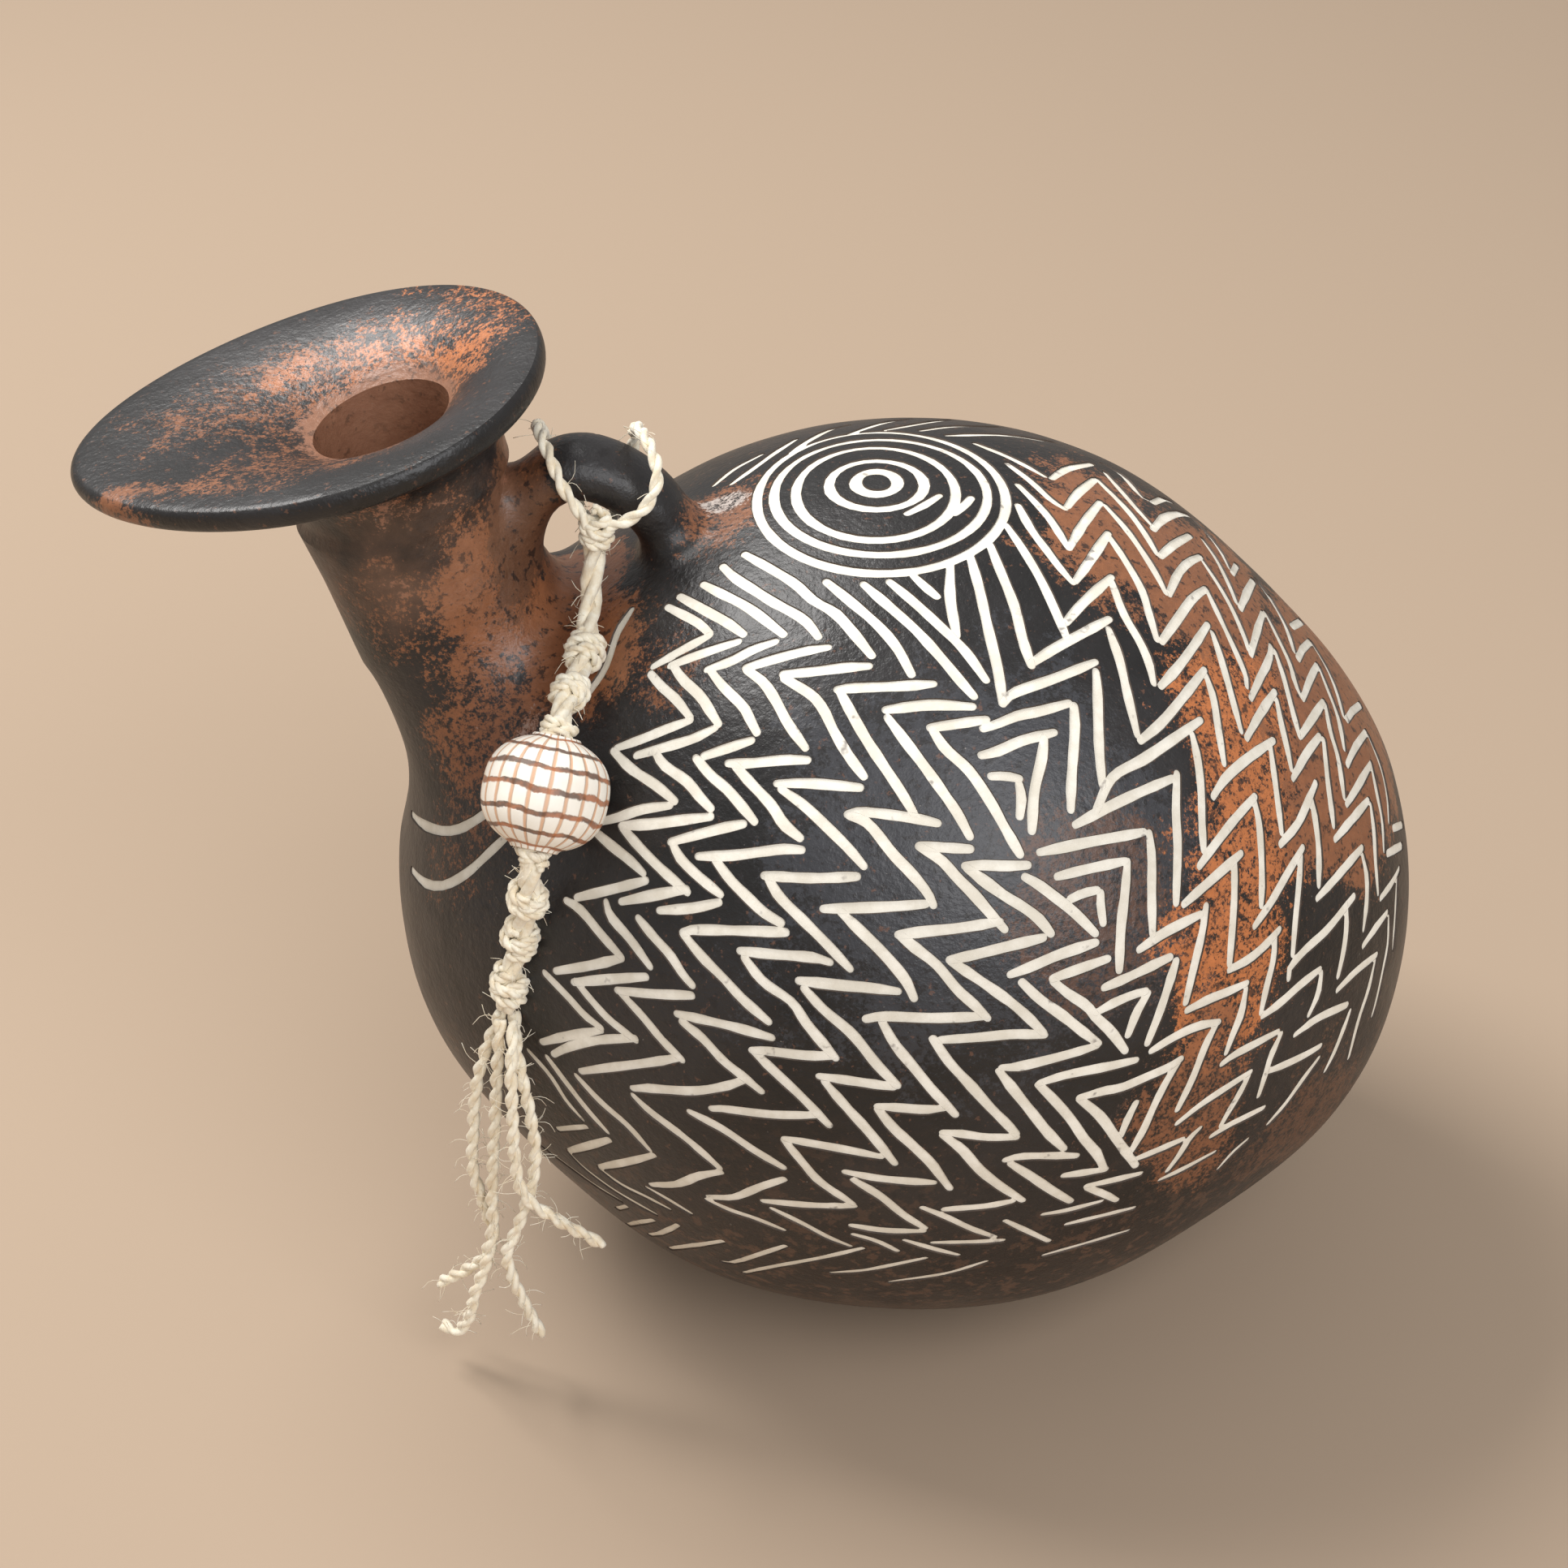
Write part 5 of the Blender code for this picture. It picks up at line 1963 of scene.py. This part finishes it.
@dataclass
class Studio:
    """The plain floor and soft light."""
    floor_side: float = 4.0
    key_power: float = 16.0
    fill_power: float = 10.0
    target: Point = (0.0, 0.0, 0.08)
    key_place: Point = (-0.60, 0.35, 1.10)
    key_size: float = 0.6
    key_colour: Point = (1.0, 0.98, 0.96)
    fill_place: Point = (0.45, -0.9, 0.9)
    fill_size: float = 0.9
    fill_colour: Point = (0.98, 0.98, 1.0)
    world_strength: float = 0.44
    world_colour: Colour = (1.0, 0.985, 0.97, 1)
    view_transform: str = "Standard"

    def lamp(self, name: str, place: Point, size: float, power: float, colour: Point) -> None:
        """An area light.

        Args:
            name: Its name.
            place: Where it hangs.
            size: Its side.
            power: Its power.
            colour: Its colour.
        """
        light = bpy.data.lights.new(name, "AREA")
        light.size = size
        light.energy = power
        light.color = colour
        item = bpy.data.objects.new(name, light)
        bpy.context.scene.collection.objects.link(item)
        item.location = place
        item.rotation_euler = (Vector(self.target) - Vector(place)).to_track_quat("-Z", "Y").to_euler()

    def build(self) -> None:
        """Lay the floor and hang the lights."""
        deselect()
        bpy.ops.mesh.primitive_plane_add(size=self.floor_side, location=(0.0, 0.0, 0.0))
        floor = bpy.context.active_object
        floor.name = "floor"
        floor.data.materials.append(PaleFloor().build())
        self.lamp("key", self.key_place, self.key_size, self.key_power, self.key_colour)
        self.lamp("front", self.fill_place, self.fill_size, self.fill_power, self.fill_colour)
        bpy.context.scene.view_settings.view_transform = self.view_transform
        world = bpy.data.worlds.new("studio")
        bpy.context.scene.world = world
        world.use_nodes = True
        sky = world.node_tree.nodes["Background"]
        sky.inputs[0].default_value = self.world_colour
        sky.inputs[1].default_value = self.world_strength


ORANGE: Point = (0.56, 0.185, 0.058)
RUST: Point = (0.29, 0.112, 0.048)
WARM_BROWN: Point = (0.15, 0.068, 0.036)
THROAT_RED: Point = (0.27, 0.125, 0.075)
# Painted highlight: a whitish glossy shine painted into the clay's colour, by the neck joint and at the
# handle's right root.
PAINTED_HIGHLIGHT: Point = (0.62, 0.58, 0.54)
# Painted sheen: the body's blue-grey reflection painted into the clay's colour on the upper front.
PAINTED_SHEEN_GREY: Point = (0.062, 0.066, 0.078)
STAINS_AND_PAINTED_SHEEN: tuple[StainAndSheen, ...] = (
    # Painted sheen on the upper front of the body.
    StainAndSheen((0.016, -0.066, 0.132), (0.060, 0.050, 0.052), PAINTED_SHEEN_GREY, 0.45, 0.60),
    StainAndSheen((0.0300, -0.0700, 0.1250), (0.028, 0.030, 0.040), WARM_BROWN, 0.65, 0.50),
    StainAndSheen((0.0600, -0.0330, 0.1383), (0.034, 0.046, 0.052), ORANGE, 1.0, 0.51),
    StainAndSheen((0.0540, -0.0600, 0.1080), (0.021, 0.036, 0.046), ORANGE, 1.0, 0.50),
    StainAndSheen((0.0500, -0.0030, 0.1554), (0.040, 0.036, 0.026), RUST, 0.95, 0.62),
    StainAndSheen((0.0800, -0.0120, 0.1240), (0.026, 0.044, 0.034), RUST, 0.95, 0.66),
    StainAndSheen((0.0506, -0.0715, 0.0800), (0.022, 0.026, 0.032), RUST, 0.8, 0.50),
    StainAndSheen((0.0700, -0.0480, 0.0600), (0.030, 0.034, 0.030), WARM_BROWN, 0.8, 0.50),
    StainAndSheen((-0.0790, -0.0226, 0.1370), (0.021, 0.024, 0.036), RUST, 0.95, 0.50),
    StainAndSheen((-0.0764, -0.0147, 0.1590), (0.017, 0.020, 0.028), RUST, 1.0, 0.56),
    StainAndSheen((-0.0960, -0.0140, 0.1540), (0.018, 0.022, 0.030), RUST, 0.85, 0.43),
    StainAndSheen((-0.0600, -0.0180, 0.1440), (0.024, 0.022, 0.022), RUST, 0.95, 0.60),
    StainAndSheen((-0.0740, 0.0, 0.1620), (0.012, 0.016, 0.026), WARM_BROWN, 1.0, 0.80),
    StainAndSheen((-0.0620, 0.0, 0.1480), (0.020, 0.014, 0.010), RUST, 1.0, 0.85),
    StainAndSheen((-0.0680, 0.0, 0.1740), (0.008, 0.010, 0.008), RUST, 0.9, 0.46),
    StainAndSheen((-0.0820, -0.0300, 0.1160), (0.024, 0.024, 0.024), RUST, 0.8, 0.44),
    StainAndSheen((-0.0950, 0.0080, 0.1860), (0.034, 0.032, 0.022), ORANGE, 0.95, 0.50),
    StainAndSheen((-0.1050, 0.0, 0.1830), (0.058, 0.044, 0.026), RUST, 0.85, 0.455),
    StainAndSheen((-0.0950, 0.0, 0.1740), (0.0175, 0.0175, 0.020), THROAT_RED, 1.0, 1.1),
    StainAndSheen((-0.0800, 0.0200, 0.1960), (0.030, 0.026, 0.020), ORANGE, 0.85, 0.44),
    StainAndSheen((-0.1330, -0.0210, 0.1770), (0.028, 0.010, 0.008), RUST, 0.85, 0.55),
    StainAndSheen((-0.0346, 0.0010, 0.1630), (0.016, 0.020, 0.014), RUST, 0.85, 0.50),
    # Painted highlight on the body's top by the handle's right root.
    StainAndSheen((-0.0346, 0.0035, 0.1637), (0.0080, 0.0064, 0.009), PAINTED_HIGHLIGHT, 0.75, 0.50),
    StainAndSheen((-0.0460, -0.0330, 0.1500), (0.016, 0.016, 0.016), RUST, 0.75, 0.45),
    # Painted highlight by the neck joint.
    StainAndSheen((-0.0680, -0.0300, 0.1300), (0.013, 0.013, 0.018), PAINTED_HIGHLIGHT, 0.35, 0.45),
)


def main() -> None:
    """Build the camera, the cords, the vessel and the studio."""
    logging.basicConfig(level=logging.INFO)
    VIEW.build()
    Twine().build()
    vessel = Vessel().build(Groups(patch_group(), speckle_group()), STAINS_AND_PAINTED_SHEEN)
    LOG.info("%s has %d faces", vessel.name, len(vessel.data.polygons))
    Studio().build()
    LOG.info("floor and lights are in place")


if __name__ == "__main__":
    main()
    bpy.context.view_layer.update()
